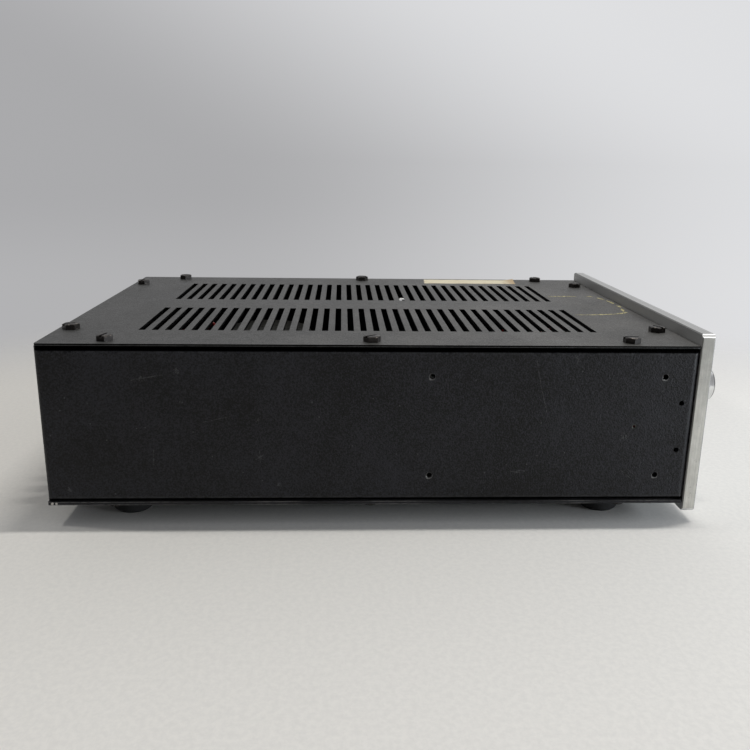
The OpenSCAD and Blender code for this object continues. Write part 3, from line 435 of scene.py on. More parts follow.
@effect(place=Kind.VECTOR, scale=Kind.NUMBER, share=Kind.NUMBER)
def loose_specks(graph: Graph, place: Signal, scale: Signal, share: Signal) -> dict[str, Signal]:
    """Loose specks: a dot in a small share of scattered cells.

    Args:
        graph: The group's graph.
        place: Where the specks are read.
        scale: Cells to a metre.
        share: Share of the cells that hold a speck.

    Returns:
        Mask of the specks.
    """
    cells = graph.node("TexVoronoi", {"Vector": place, "Scale": scale})
    dot = graph.ramp(graph.read(cells, "Distance"), (0.06, 0.2), FALL)
    chance = graph.axes(graph.read(cells, "Color"))[0]
    return {"mask": dot * (chance < share)}


@effect(place=Kind.VECTOR, amount=Kind.NUMBER)
def settled_dust(graph: Graph, place: Signal, amount: Signal) -> dict[str, Signal]:
    """Dust on faces that look up, thicker in soft clouds.

    Args:
        graph: The group's graph.
        place: Where the dust is read.
        amount: Amount of dust.

    Returns:
        Mask of the dust.
    """
    up = graph.ramp(graph.axes(graph.normal())[2], (0.5, 0.95))
    cloud = graph.ramp(graph.noise(place, 22.0, 5.0, 0.62), (0.28, 0.78), (0.35, 1.0))
    uneven = graph.noise(place, 900.0, 2.0, 0.7) * 0.7 + 0.5
    return {"mask": up * (cloud * uneven) * amount}


@effect(place=Kind.VECTOR, stretch=Kind.VECTOR)
def brushed_lines(graph: Graph, place: Signal, stretch: Signal) -> dict[str, Signal]:
    """Brushed lines: noise squeezed across the brushing, in a fine and a coarse layer.

    Args:
        graph: The group's graph.
        place: Where the lines are read.
        stretch: Lines to a metre along each axis.

    Returns:
        Tone of the lines.
    """
    squeezed = graph.vector("MULTIPLY", place, stretch)
    fine = graph.noise(squeezed, 1.0, 3.0, 0.65)
    coarse = graph.noise(squeezed, 0.22)
    return {"tone": fine * 0.65 + coarse * 0.35}


@effect(place=Kind.VECTOR)
def turned_marks(graph: Graph, place: Signal) -> dict[str, Signal]:
    """Marks of a lathe tool round an axis along y: noise on the radius and on the depth.

    Args:
        graph: The group's graph.
        place: Where the marks are read, with the turned axis at x = z = 0.

    Returns:
        Tone of the marks.
    """
    x, y, z = graph.axes(place)
    radius = graph.math("SQRT", x * x + z * z)
    spot = graph.add("CombineXYZ", {0: radius, 1: y})
    return {"tone": graph.noise(spot, 5200.0, 2.0, 0.6)}


def scaled(colour: Colour, share: float) -> Colour:
    """A colour made darker or lighter."""
    return tuple(share * part for part in colour)


@dataclass(frozen=True)
class Finish:
    """A procedural material.

    Attributes:
        name: Name of the material.
        colour: Its main colour.
    """

    name: str
    colour: Colour

    def lay(self, shader: Shader) -> None:
        """Lay out the finish's nodes in a new material."""
        raise NotImplementedError

    def tint(self, share: float) -> Colour:
        """The main colour made darker or lighter."""
        return scaled(self.colour, share)

    def material(self) -> bpy.types.Material:
        """Build the material.

        Returns:
            The material.
        """
        shader = Shader(self.name)
        self.lay(shader)
        return shader.material


@dataclass(frozen=True)
class Stroke:
    """A scratch between two places (depth behind the front panel, height), in millimetres."""

    start: Pair
    end: Pair
    width: float


@dataclass(frozen=True)
class Spot:
    """A scuffed or chipped spot at a place (depth behind the panel, height), in millimetres."""

    place: Pair
    radius: float


@dataclass(frozen=True)
class Sheet:
    """How one painted sheet has aged, with lengths in millimetres.

    Attributes:
        dust: Amounts of dust on faces that look up, at the front and at the rear; a difference
            between them is partly painted light.
        rubbed: Amount of wear along the edges.
        seam: Height of the shaded strips along the top and the bottom, or 0 for none.
        colour: Colour of the clean paint.
        sheen: Strength of its reflections.
        strokes: Scratches on the face at the low x.
        spots: Scuffed spots on that face.
        chips: Spots on that face where the paint is off.
    """

    dust: Pair
    rubbed: float
    seam: float = 0.0
    colour: Colour = (0.0068, 0.0068, 0.0082)
    sheen: float = 0.26
    strokes: tuple[Stroke, ...] = ()
    spots: tuple[Spot, ...] = ()
    chips: tuple[Spot, ...] = ()


@dataclass(frozen=True)
class Paint(Finish):
    """Fine textured black paint on sheet steel, dusty above, worn along its edges, with painted
    shade in seams.

    Attributes:
        sheet: How the painted sheet has aged.
        low: Low corner of the sheet.
        high: High corner of the sheet.
        panel_y: Back of the front panel, where depths start.
    """

    sheet: Sheet
    low: Point
    high: Point
    panel_y: float

    def on_side(self, place: Pair) -> Point:
        """Point on the marked face, from its depth and height in millimetres."""
        return (self.low[0], self.panel_y + place[0] * MM, place[1] * MM)

    def spot_masks(self, shader: Shader, spots: tuple[Spot, ...], solid: float) -> list[Signal]:
        """Masks of scuffed or chipped spots, whose specks join as far as they are solid."""
        return [scuff(shader, centre=self.on_side(spot.place), radius=spot.radius * MM,
                      solid=solid)["mask"] for spot in spots]

    def marks(self, shader: Shader) -> Signal:
        """Scratches, scuffs and loose specks together.

        Args:
            shader: The material.

        Returns:
            Mask of the marks.
        """
        masks = [loose_specks(shader, scale=420.0, share=0.004)["mask"]]
        for stroke in self.sheet.strokes:
            start, end = self.on_side(stroke.start), self.on_side(stroke.end)
            masks.append(scratch(shader, start=start, end=end, width=stroke.width * MM)["mask"])
        return shader.highest(*masks, *self.spot_masks(shader, self.sheet.spots, 0.0))

    def bare(self, shader: Shader) -> Signal:
        """Where bare steel shows: along worn edges and in the chips.

        Args:
            shader: The material.

        Returns:
            Mask of the bare steel.
        """
        worn = edge_wear(shader, low=self.low, high=self.high, width=0.9 * MM)["mask"]
        chips = self.spot_masks(shader, self.sheet.chips, 0.5)
        return shader.highest(worn * self.sheet.rubbed, *chips)

    def shade(self, shader: Shader) -> tuple[Signal, Signal]:
        """Painted shade on upright faces, in the seams at the top and the bottom and in the vents.

        Args:
            shader: The material.

        Returns:
            Mask of the painted shade, and mask of the painted highlight line beside it.
        """
        seam = self.sheet.seam * MM
        x, y, near = shader.inset(shader.place, self.low, self.high)
        vent = shader.lowest(x, y) > 3.0 * MM
        upright = shader.ramp(abs(shader.axes(shader.normal())[2]), (0.9, 0.98), FALL)
        strip = shader.ramp(near, (0.72 * seam, seam), FALL)
        line = shader.ramp(near, (seam, 1.5 * seam), FALL)
        broken = shader.ramp(shader.noise(shader.place, 300.0), (0.3, 0.6))
        return shader.highest(strip, vent) * upright, line * broken

    def lay(self, shader: Shader) -> None:
        """Lay the paint, the dust, the marks, the bare steel and the painted shade over each other.

        Args:
            shader: The material.
        """
        grain = paint_grain(shader, scale=900.0)
        base = shader.mix(shader.ramp(grain["tone"], (0.4, 0.62)), self.tint(0.1), self.tint(2.9))
        length = (self.low[1], self.high[1])
        # Dust eased from front to rear: real dust, and on the top cover also painted light, lighter
        # at the front
        amount = shader.ramp(shader.axes(shader.place)[1], length, self.sheet.dust)
        base = shader.mix(settled_dust(shader, amount=amount)["mask"], base, DUST_GREY)
        base = shader.mix(self.marks(shader) * 0.3, base, SCUFF_AND_HIGHLIGHT_GREY)
        bare = self.bare(shader)
        base = shader.mix(bare, base, BARE_STEEL)
        metal = bare * 0.7
        if self.sheet.seam > 0.0:
            # Painted shade: seams and vent walls turn near-black and metallic, so they also lose
            # their reflections
            painted_shade, line = self.shade(shader)
            # Painted highlight: a faint light line beside the seam
            base = shader.mix(line * 0.1, base, SCUFF_AND_HIGHLIGHT_GREY)
            base = shader.mix(painted_shade, base, PAINTED_SHADE_BLACK)
            metal = shader.highest(metal, painted_shade)
        rough = shader.ramp(grain["tone"], (0.34, 0.66), (0.4, 0.66)) - bare * 0.15
        shader.surface(base, rough, metal)
        shader.feed("Specular IOR Level", self.sheet.sheen)
        shader.bump(grain["height"], 0.22 * MM)


@dataclass(frozen=True)
class BrushedPlate(Finish):
    """Thick aluminium plate, brushed along x on its face and ground along z on its ends.

    Attributes:
        low: Low corner of the plate.
        high: High corner of the plate.
        corner: Cut across its corners.
        ends: Colour of the metal at its ends.
    """

    low: Point
    high: Point
    corner: float
    ends: Colour = (0.66, 0.65, 0.605)

    def corner_line(self, shader: Shader, facing: Axes) -> Signal:
        """Painted dark line along the middle of each cut corner, between its painted highlights.

        Args:
            shader: The material.
            facing: Sizes of the normal's three parts.

        Returns:
            Mask of the lines.
        """
        x, _, z = shader.axes(shader.place)
        middle = 0.5 * (self.low[2] + self.high[2])
        from_end = self.high[0] - abs(x)
        from_top = (self.high[2] - middle) - abs(z - middle)
        band = (0.15 * self.corner, 0.4 * self.corner)
        slanted = shader.lowest(facing[0], facing[2]) > 0.5
        return shader.ramp(abs(from_end - from_top), band, FALL) * slanted

    def ground(self, shader: Shader, lines: Signal) -> Signal:
        """Colour of the ends: ground lines with blotches and nicks, darker towards the top as
        painted shade.

        Args:
            shader: The material.
            lines: Tone of the ground lines.

        Returns:
            The colour.
        """
        streaks = shader.mix(shader.ramp(lines, (0.36, 0.62)), scaled(self.ends, 0.8), self.ends)
        cloud = shader.noise(shader.place, 240.0, 4.0, 0.65)
        blotch = shader.ramp(cloud, (0.35, 0.65), (0.14, 0.0))
        # Painted shade: the ends darken towards the top
        start = self.low[2] + 0.4 * (self.high[2] - self.low[2])
        upper_shade = shader.ramp(shader.axes(shader.place)[2], (start, self.high[2]), (0.0, 0.45))
        streaks = shader.mix(blotch + upper_shade, streaks, scaled(self.ends, 0.25))
        dents = shader.noise(shader.place, 480.0, 3.0, 0.7)
        return shader.mix(shader.ramp(dents, (0.62, 0.72), (0.0, 0.6)), streaks, self.tint(0.3))

    def lay(self, shader: Shader) -> None:
        """Lay the face, the ends, the worn edges and the cut edges with their painted highlights and
        shade.

        Args:
            shader: The material.
        """
        along_x, along_z = (18.0, 5000.0, 5000.0), (1800.0, 1800.0, 70.0)
        normal = shader.normal()
        facing = shader.axes(shader.vector("ABSOLUTE", normal))
        end, front, top = (shader.ramp(part, FACING) for part in facing)
        cut = shader.ramp(shader.highest(*facing), FACING, FALL)
        face_lines = brushed_lines(shader, stretch=along_x)["tone"]
        end_lines = brushed_lines(shader, stretch=along_z)["tone"]
        tone = face_lines * 0.75 + shader.noise(shader.place, 35.0, 4.0, 0.6) * 0.25
        face = shader.mix(shader.ramp(tone, (0.35, 0.65)), self.tint(0.78), self.colour)
        # Painted shade: the front and back faces are darkened to tone down the window lamp's
        # reflection
        face = shader.mix(front * 0.8, face, self.tint(0.55))
        hatch = shader.ramp(face_lines, (0.4, 0.6), (0.9, 0.45))
        face = shader.mix(top * hatch, face, self.tint(0.55))
        base = shader.mix(end, face, self.ground(shader, end_lines))
        worn = edge_wear(shader, low=self.low, high=self.high, width=1.2 * MM)["mask"]
        worn = worn * shader.ramp(facing[2], (0.1, 0.4), (0.3, 1.0))
        # Cut corners that tilt up or down and do not face back get a painted highlight, the others
        # painted shade
        shaded = shader.highest(shader.axes(normal)[1] > 0.3, facing[2] < 0.3)
        base = shader.mix(shader.highest(worn, cut * (1.0 - shaded)), base, WORN_AND_HIGHLIGHT)
        base = shader.mix(cut * shaded, base, self.tint(0.3))
        base = shader.mix(self.corner_line(shader, facing), base, self.tint(0.4))
        rough = shader.ramp(tone, SPREAD, (0.44, 0.3)) + end * 0.16 + (cut + front) * 0.14
        shader.surface(base, rough - worn * 0.1, 1.0)
        shader.bump(face_lines + (end_lines - face_lines) * end, 0.012 * MM)


@dataclass(frozen=True)
class TurnedMetal(Finish):
    """Polished aluminium turned round axes along y that stand a pitch apart.

    Attributes:
        pitch: Distance from axis to axis along x.
        start_x: One of the axes.
        axis_z: Height of the axes.
        tip_y: Front of the pieces, where a dark line runs round the rim.
    """

    pitch: float
    start_x: float
    axis_z: float
    tip_y: float

    def lay(self, shader: Shader) -> None:
        """Wrap x into one pitch, so that each piece is turned round its own axis.

        Args:
            shader: The material.
        """
        x, y, z = shader.axes(shader.place)
        wrap = {0: x - self.start_x, 1: -self.pitch / 2, 2: self.pitch / 2}
        local_x = shader.add("Math", wrap, operation="WRAP")
        local = shader.add("CombineXYZ", {0: local_x, 1: y, 2: z - self.axis_z})
        marks = turned_marks(shader, place=local)["tone"]
        base = shader.mix(shader.ramp(marks, (0.35, 0.65)), self.tint(0.8), self.colour)
        rim = shader.ramp(y, (self.tip_y + 0.7 * MM, self.tip_y + 0.9 * MM), FALL)
        rim = rim * (abs(shader.axes(shader.normal())[1]) < 0.9)
        smear = shader.noise(shader.place, 160.0, 4.0, 0.6)
        rough = shader.ramp(smear, (0.35, 0.7), (0.13, 0.27))
        shader.surface(shader.mix(rim, base, self.tint(0.3)), rough, 1.0)
        shader.bump(marks, 0.006 * MM)


@dataclass(frozen=True)
class Plated(Finish):
    """Plated or bare metal of small pieces, with stains and fine pits.

    Attributes:
        stain: Colour of its stains.
        rough: Roughness of the clean metal.
    """

    stain: Colour
    rough: float

    def lay(self, shader: Shader) -> None:
        """Lay soft stains and fine pits over the metal.

        Args:
            shader: The material.
        """
        cloud = shader.ramp(shader.noise(shader.place, 260.0, 4.0, 0.65), (0.45, 0.75))
        pits = shader.noise(shader.place, 2600.0, 3.0, 0.6)
        rough = cloud * 0.22 + self.rough + pits * 0.08
        shader.surface(shader.mix(cloud, self.colour, self.stain), rough, 1.0)
        shader.bump(pits, 0.012 * MM)


@dataclass(frozen=True)
class WornSteel(Finish):
    """Dark oxide on steel screws, rubbed bright along the rims of their heads.

    Attributes:
        worn: Colour of the rubbed steel.
    """

    worn: Colour

    def lay(self, shader: Shader) -> None:
        """Rub the oxide where the noise is high, most of all on slanted faces.

        Args:
            shader: The material.
        """
        slant = abs(shader.axes(shader.normal())[2])
        rim = shader.ramp(slant, (0.15, 0.5)) * shader.ramp(slant, (0.97, 0.8))
        patch = shader.noise(shader.place, 520.0, 4.0, 0.7)
        rubbed = shader.ramp(patch + rim * 0.2, (0.6, 0.76))
        brown = shader.mix(shader.noise(shader.place, 900.0, 3.0), self.colour, self.tint(1.9))
        rough = shader.ramp(patch, SPREAD, (0.52, 0.34))
        metal = shader.ramp(rubbed, (0.0, 1.0), (0.55, 0.9))
        shader.surface(shader.mix(rubbed, brown, self.worn), rough, metal)
        shader.bump(shader.noise(shader.place, 2400.0, 3.0, 0.6), 0.03 * MM)


@dataclass(frozen=True)
class Moulded(Finish):
    """Moulded plastic, rubber, lacquer or a sleeve, with a fine grain and handling marks.

    Attributes:
        rough: Roughness.
        grain: Depth of the grain, in millimetres.
        above: Colour above the split height, where it differs.
        split: Height of the split between the two colours, in metres.
        cap: Colour of bare metal tops, or none.
    """

    rough: float
    grain: float
    above: Colour | None = None
    split: float = 0.0
    cap: Colour | None = None

    def lay(self, shader: Shader) -> None:
        """Lay the grain and the dust over the colours, and the metal top over them.

        Args:
            shader: The material.
        """
        grain = paint_grain(shader, scale=2200.0)
        base: Value = self.colour
        metal: Value = 0.0
        if self.above is not None:
            base = shader.mix(shader.axes(shader.place)[2] > self.split, self.colour, self.above)
        shade = shader.ramp(grain["tone"], SPREAD, (0.78, 1.1))
        base = shader.mix(1.0, base, shade, "MULTIPLY")
        base = shader.mix(settled_dust(shader, amount=0.2)["mask"], base, DUST_GREY)
        if self.cap is not None:
            metal = shader.ramp(shader.axes(shader.normal())[2], (0.85, 0.95))
            base = shader.mix(metal, base, self.cap)
        rough = shader.ramp(grain["tone"], SPREAD, (self.rough + 0.08, self.rough - 0.06))
        shader.surface(base, rough, metal)
        shader.bump(grain["height"], self.grain * MM)


@dataclass(frozen=True)
class Bushed(Finish):
    """Plastic switch with a plated bushing at its front.

    Attributes:
        plating: Colour of the bushing.
        split_y: Where the bushing starts.
    """

    plating: Colour
    split_y: float

    def lay(self, shader: Shader) -> None:
        """Change from plastic to metal at the split, both a little stained.

        Args:
            shader: The material.
        """
        metal = shader.axes(shader.place)[1] < self.split_y
        cloud = shader.noise(shader.place, 400.0, 4.0, 0.65)
        clean = shader.mix(metal, self.colour, self.plating)
        dull = shader.mix(metal, self.tint(0.6), scaled(self.plating, 0.6))
        base = shader.mix(shader.ramp(cloud, (0.4, 0.75)), clean, dull)
        shader.surface(base, shader.ramp(cloud, SPREAD, (0.24, 0.42)), metal)
        shader.bump(shader.noise(shader.place, 2200.0, 3.0), 0.015 * MM)


@dataclass(frozen=True)
class Laminate(Finish):
    """Circuit board: green lacquer over copper tracks, in runs that keep to a square grid.

    Attributes:
        track: Colour of lacquer over copper.
    """

    track: Colour

    def lay(self, shader: Shader) -> None:
        """Lay the tracks along the edges of square cells, over a fine weave.

        Args:
            shader: The material.
        """
        inputs = {"Vector": shader.place, "Scale": 210.0}
        edge = shader.add("TexVoronoi", inputs, "Distance", distance="CHEBYCHEV",
                          feature="DISTANCE_TO_EDGE")
        run = shader.ramp(edge, (0.05, 0.09), FALL)
        weave = shader.noise(shader.place, 1800.0)
        base = shader.mix(weave * 0.25, shader.mix(run, self.colour, self.track), self.track)
        shader.surface(base, shader.ramp(weave, SPREAD, (0.34, 0.5)))
        shader.bump(run, 0.035 * MM)


class Lens(Finish):
    """Tinted clear plastic of a lamp, with a moulded frost inside."""

    def lay(self, shader: Shader) -> None:
        """Lay a clear coat over the frost.

        Args:
            shader: The material.
        """
        frost = shader.noise(shader.place, 1500.0, 3.0)
        base = shader.mix(frost, self.tint(0.55), self.colour)
        shader.surface(base, shader.ramp(frost, SPREAD, (0.12, 0.24)))
        shader.feed("Coat Weight", 0.6)
        shader.feed("IOR", 1.49)
        shader.bump(frost, 0.02 * MM)


@dataclass(frozen=True)
class Paper(Finish):
    """Aged paper: cream, blotchy and browner towards its front end.

    Attributes:
        aged: Colour of the browned parts.
        end_y: Front end, which is browned, or none.
    """

    aged: Colour
    end_y: float | None = None

    def lay(self, shader: Shader) -> None:
        """Lay brown blotches over the fibres.

        Args:
            shader: The material.
        """
        fibre = brushed_lines(shader, stretch=(900.0, 2600.0, 2600.0))["tone"]
        base = shader.mix(shader.ramp(fibre, SPREAD), self.tint(0.9), self.colour)
        brown = shader.ramp(shader.noise(shader.place, 90.0, 5.0, 0.7), (0.48, 0.78)) * 0.7
        if self.end_y is not None:
            band = (self.end_y, self.end_y + 9.0 * MM)
            near = shader.ramp(shader.axes(shader.place)[1], band, (0.8, 0.0))
            brown = shader.highest(brown, near)
        shader.surface(shader.mix(brown, base, self.aged), 0.85)
        shader.feed("Specular IOR Level", 0.2)
        shader.bump(fibre, 0.03 * MM)


class DryGlue(Finish):
    """Dried adhesive: yellowed, uneven and half dull."""

    def lay(self, shader: Shader) -> None:
        """Lay lumps with dirt between them.

        Args:
            shader: The material.
        """
        lump = shader.noise(shader.place, 700.0, 4.0, 0.7)
        base = shader.mix(shader.ramp(lump, (0.34, 0.58)), self.tint(0.35), self.colour)
        shader.surface(base, shader.ramp(lump, SPREAD, (0.8, 0.5)))
        shader.bump(lump, 0.1 * MM)


class Ink(Finish):
    """Screen-printed ink, a little uneven and dusty."""

    def lay(self, shader: Shader) -> None:
        """Thin the ink out where the noise is high.

        Args:
            shader: The material.
        """
        uneven = shader.noise(shader.place, 1400.0, 3.0, 0.6)
        thin = tuple(part + 0.03 for part in self.tint(0.7))
        base = shader.mix(shader.ramp(uneven, (0.4, 0.75)), self.colour, thin)
        shader.surface(base, shader.ramp(uneven, SPREAD, (0.5, 0.65)))
        shader.bump(uneven, 0.01 * MM)


def finish_node(frame: dict, node: str, material: bpy.types.Material) -> None:
    """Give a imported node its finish.

    Args:
        frame: The loaded frame.
        node: Name of the node.
        material: The finish.
    """
    mesh = frame["nodes"][node].data
    mesh.materials.clear()
    mesh.materials.append(material)
    LOG.info("node %s: %s", node, material.name)


def grid_faces(rows: int, columns: int, loop: bool = False) -> np.ndarray:
    """Quads that join neighbours of a grid of points.

    Args:
        rows: Rows of points.
        columns: Points in a row.
        loop: Join the last point of each row to its first.

    Returns:
        Four point numbers for each quad.
    """
    quads = columns if loop else columns - 1
    i, j = np.meshgrid(np.arange(rows - 1), np.arange(quads), indexing="ij")
    k = (j + 1) % columns
    here, next_row = i * columns, (i + 1) * columns
    return np.stack([here + j, here + k, next_row + k, next_row + j], axis=-1).reshape(-1, 4)


def join(surfaces: list[Surface]) -> Surface:
    """Several surfaces as one.

    Args:
        surfaces: Points and faces of each surface.

    Returns:
        All points, and all faces with their point numbers moved on.
    """
    points = [part.reshape(-1, 3) for part, _ in surfaces]
    starts = np.cumsum([0] + [len(part) for part in points[:-1]])
    faces = [part + start for (_, part), start in zip(surfaces, starts)]
    return np.concatenate(points), np.concatenate(faces)


def add_piece(name: str, surface: Surface, material: bpy.types.Material,
              body: str | None = "chassis", smooth: bool = True) -> bpy.types.Object:
    """Put a surface into the scene.

    Args:
        name: Name of the piece.
        surface: Its points, in metres, and the point numbers of its faces.
        material: Its finish.
        body: The body that it rides on, or none for a piece of the stage.
        smooth: Shade it smooth.

    Returns:
        The new object.
    """
    points, faces = surface
    mesh = bpy.data.meshes.new(name)
    mesh.from_pydata(points.reshape(-1, 3), [], faces.tolist())
    mesh.polygons.foreach_set("use_smooth", np.full(len(mesh.polygons), smooth))
    mesh.materials.append(material)
    mesh.validate()
    piece = bpy.data.objects.new(name, mesh)
    bpy.context.scene.collection.objects.link(piece)
    if body is not None:
        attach(piece, body)
    LOG.info("piece %s: %d points", name, len(mesh.vertices))
    return piece


def thicken(piece: bpy.types.Object, thickness: float, offset: float) -> None:
    """Give a sheet its thickness.

    Args:
        piece: The sheet.
        thickness: Its thickness, in millimetres.
        offset: 1 to grow along the normals, -1 to grow against them.
    """
    thick = piece.modifiers.new("thickness", "SOLIDIFY")
    thick.thickness = thickness * MM
    thick.offset = offset


def curve_through(points: np.ndarray, steps: int) -> np.ndarray:
    """Smooth curve: on each stretch a cubic whose slopes are half the step past its ends.

    Args:
        points: Points that the curve passes.
        steps: New points on each stretch.

    Returns:
        Points along the curve.
    """
    a = np.concatenate([points[:1], points[:-2], points[-3:-2]])[: len(points) - 1]
    b, c = points[:-1], points[1:]
    d = np.concatenate([points[2:], points[-1:]])
    t = np.linspace(0.0, 1.0, steps, endpoint=False)[None, :, None]
    a, b, c, d = (p[:, None, :] for p in (a, b, c, d))
    square = 2 * a - 5 * b + 4 * c - d
    cube = 3 * b - a - 3 * c + d
    cubic = 0.5 * (2 * b + (c - a) * t + square * t**2 + cube * t**3)
    return np.concatenate([cubic.reshape(-1, points.shape[1]), points[-1:]])


def print_words(name: str, words: list[Word], turn: Matrix, material: bpy.types.Material) -> None:
    """Print short words as one flat mesh.

    Args:
        name: Name of the piece.
        words: Each word with its middle and its letter height, in millimetres.
        turn: Turns the words from the ground plane onto the face that carries them.
        material: The ink.
    """
    font_size = 1.4
    prints = []
    for text, middle, height in words:
        curve = bpy.data.curves.new(name, "FONT")
        curve.body = text
        curve.size = height * MM * font_size
        curve.align_x = "CENTER"
        curve.align_y = "CENTER"
        curve.resolution_u = 3
        source = bpy.data.objects.new(name, curve)
        bpy.context.scene.collection.objects.link(source)
        bpy.context.view_layer.update()
        shape = source.evaluated_get(bpy.context.evaluated_depsgraph_get())
        mesh = bpy.data.meshes.new_from_object(shape)
        mesh.transform(Matrix.Translation(Vector(middle) * MM) @ turn)
        mesh.calc_loop_triangles()
        points = np.empty(len(mesh.vertices) * 3)
        mesh.vertices.foreach_get("co", points)
        triangles = np.empty(len(mesh.loop_triangles) * 3, dtype=np.int32)
        mesh.loop_triangles.foreach_get("vertices", triangles)
        prints.append((points, triangles.reshape(-1, 3)))
        bpy.data.objects.remove(source)
        bpy.data.meshes.remove(mesh)
        bpy.data.curves.remove(curve)
    add_piece(name, join(prints), material, smooth=False)


class Side(Enum):
    """Sides of the unit, as the sign of their x."""

    LEFT = -1
    RIGHT = 1


@dataclass(frozen=True)
class Hole:
    """Round hole in a side: depth behind the front panel, height and radius, in millimetres."""

    depth: float
    height: float
    radius: float


@dataclass
class Case:
    """Folded case with its covers, and what time has left on it.

    Attributes:
        frame: The loaded frame.
        label_low: Low corner (x, depth) of the paper label on the top cover. All depths here are
            measured backwards from the front panel, and all lengths are in millimetres.
        label_high: High corner of the label.
        glue: Runs of a removed sticker's glue on the top cover, as places (x, depth).
        fleck: Place (x, depth) of a paper fleck in a vent.
        threaded: Threaded holes in each side.
        riveted: Hole in each side that holds a rivet.
        strokes: Scratches on the left side.
        spots: Scuffed spots on the left side.
        chips: Chips on the left edge of the bottom cover.
        panel_y: Back of the front panel, where depths start.
        top: Height of the top cover.
    """

    frame: dict
    label_low: Pair = (84.0, 46.5)
    label_high: Pair = (101.5, 108.5)
    glue: tuple[tuple[Pair, ...], ...] = (
        ((32.6, 37.2), (33.0, 32.0), (33.3, 27.9), (33.5, 18.4)),
        ((33.9, 12.2), (33.6, 10.4), (32.6, 8.3)),
        ((29.0, 6.9), (25.5, 5.6), (21.5, 4.6)),
        ((18.9, 4.1), (14.1, 3.5), (7.4, 3.5)),
        ((2.6, 3.7), (-0.6, 3.2), (-4.6, 3.3)),
        ((-8.8, 4.4), (-13.9, 5.4), (-17.6, 6.2)),
        ((-19.4, 5.0), (-22.2, 7.6), (-23.9, 10.5), (-25.4, 14.2)),
        ((-20.4, 6.6), (-22.6, 8.8), (-24.1, 11.4)),
        ((-24.9, 12.0), (-26.9, 20.0), (-28.3, 28.9), (-28.4, 37.4)),
    )
    fleck: Pair = (18.6, 130.2)
    threaded: tuple[Hole, ...] = (
        Hole(15.3, 73.8, 1.45), Hole(15.3, 25.0, 1.45),
        Hole(124.6, 73.8, 1.45), Hole(124.6, 25.0, 1.45),
    )
    riveted: Hole = Hole(27.8, 49.4, 1.25)
    strokes: tuple[Stroke, ...] = (
        Stroke((76.7, 82.8), (73.9, 70.0), 0.25), Stroke((73.9, 70.0), (70.2, 56.7), 0.25),
        Stroke((59.1, 84.0), (57.1, 82.2), 0.45), Stroke((57.1, 82.2), (57.9, 79.6), 0.35),
        Stroke((85.5, 26.9), (80.3, 26.2), 0.4), Stroke((82.1, 27.4), (78.5, 27.0), 0.35),
        Stroke((253.7, 38.0), (254.1, 30.5), 0.3), Stroke((262.1, 71.6), (248.1, 74.2), 0.4),
        Stroke((206.5, 33.0), (202.7, 35.6), 0.3), Stroke((204.7, 37.6), (204.5, 31.4), 0.3),
        Stroke((206.3, 35.4), (203.0, 33.0), 0.25), Stroke((29.1, 28.0), (22.1, 22.0), 0.25),
        Stroke((32.1, 27.4), (26.5, 22.8), 0.22), Stroke((230.1, 51.6), (216.1, 54.8), 0.25),
    )
    spots: tuple[Spot, ...] = (
        Spot((257.1, 72.6), 4.0), Spot((241.5, 76.1), 3.6), Spot((205.1, 53.2), 3.2),
        Spot((204.6, 34.4), 2.6), Spot((58.1, 82.6), 2.4), Spot((82.5, 26.6), 3.0),
        Spot((32.1, 44.6), 5.0), Spot((282.5, 60.8), 1.2), Spot((180.1, 61.4), 1.4),
        Spot((240.1, 62.0), 3.0), Spot((294.1, 18.0), 3.0), Spot((302.9, 12.4), 3.4),
        Spot((64.1, 30.0), 2.0), Spot((196.1, 20.5), 3.0),
    )
    chips: tuple[Spot, ...] = (Spot((302.6, 11.0), 0.9), Spot((300.7, 10.9), 0.8))
    panel_y: float = field(init=False)
    top: float = field(init=False)

    def __post_init__(self) -> None:
        """Read where depths start and how high the top cover lies, in millimetres."""
        self.panel_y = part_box("front_panel")[1].y / MM
        self.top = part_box("top_cover")[1].z / MM

    def sheets(self) -> dict[str, Sheet]:
        """How each sheet has aged.

        Returns:
            The sheets by their nodes.
        """
        return {
            "left_side_panel": Sheet((0.2, 0.2), 0.25, 2.1, strokes=self.strokes, spots=self.spots),
            "right_side_panel": Sheet((0.2, 0.2), 0.25, 2.1),
            "rear_panel": Sheet((0.1, 0.1), 0.4),
            "front_subpanel": Sheet((0.1, 0.1), 0.2),
            # The top's dust thins towards the rear: partly real dust, partly painted light that
            # makes the front lighter
            "top_cover": Sheet((0.31, 0.06), 0.05, 0.7, (0.0072, 0.0073, 0.0069), 0.38),
            "bottom_cover": Sheet((0.1, 0.1), 0.2, chips=self.chips),
        }

    def dress(self) -> None:
        """Paint the sheets, each worn along its own edges."""
        for node, sheet in self.sheets().items():
            low, high = (tuple(corner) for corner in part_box(node))
            paint = Paint(f"{node}_paint", sheet.colour, sheet, low, high, self.panel_y * MM)
            finish_node(self.frame, node, paint.material())

    def add_label(self) -> None:
        """Lay the blank paper label: a sheet with two slow waves, lifted at one corner."""
        rows, columns = 28, 90
        lifted = 0.16
        u, v = np.meshgrid(np.linspace(0.0, 1.0, rows), np.linspace(0.0, 1.0, columns),
                           indexing="ij")
        (x0, y0), (x1, y1) = self.label_low, self.label_high
        torn = 0.25 * np.sin(37.0 * v) * (u > 0.98) + 0.3 * np.sin(23.0 * u + 1.0) * (v < 0.01)
        waves = 0.05 + 0.04 * np.sin(9.0 * v + 2.0 * u) ** 2
        corner = 0.9 * np.clip(1.0 - v / lifted, 0.0, 1.0) ** 2 * u**2
        front, rear = y0 - 1.6 * u, y1 + 1.3 * (1.0 - u)
        x = x0 + (x1 - x0) * u + torn
        y = self.panel_y + front + (rear - front) * v
        points = np.stack([x, y, self.top + waves + corner], axis=-1) * MM
        end = (self.panel_y + y0) * MM
        paper = Paper("label_paper", (0.72, 0.66, 0.5), (0.42, 0.3, 0.17), end).material()
        label = (points, grid_faces(rows, columns))
        thicken(add_piece("paper_label", label, paper), 0.11, 1.0)

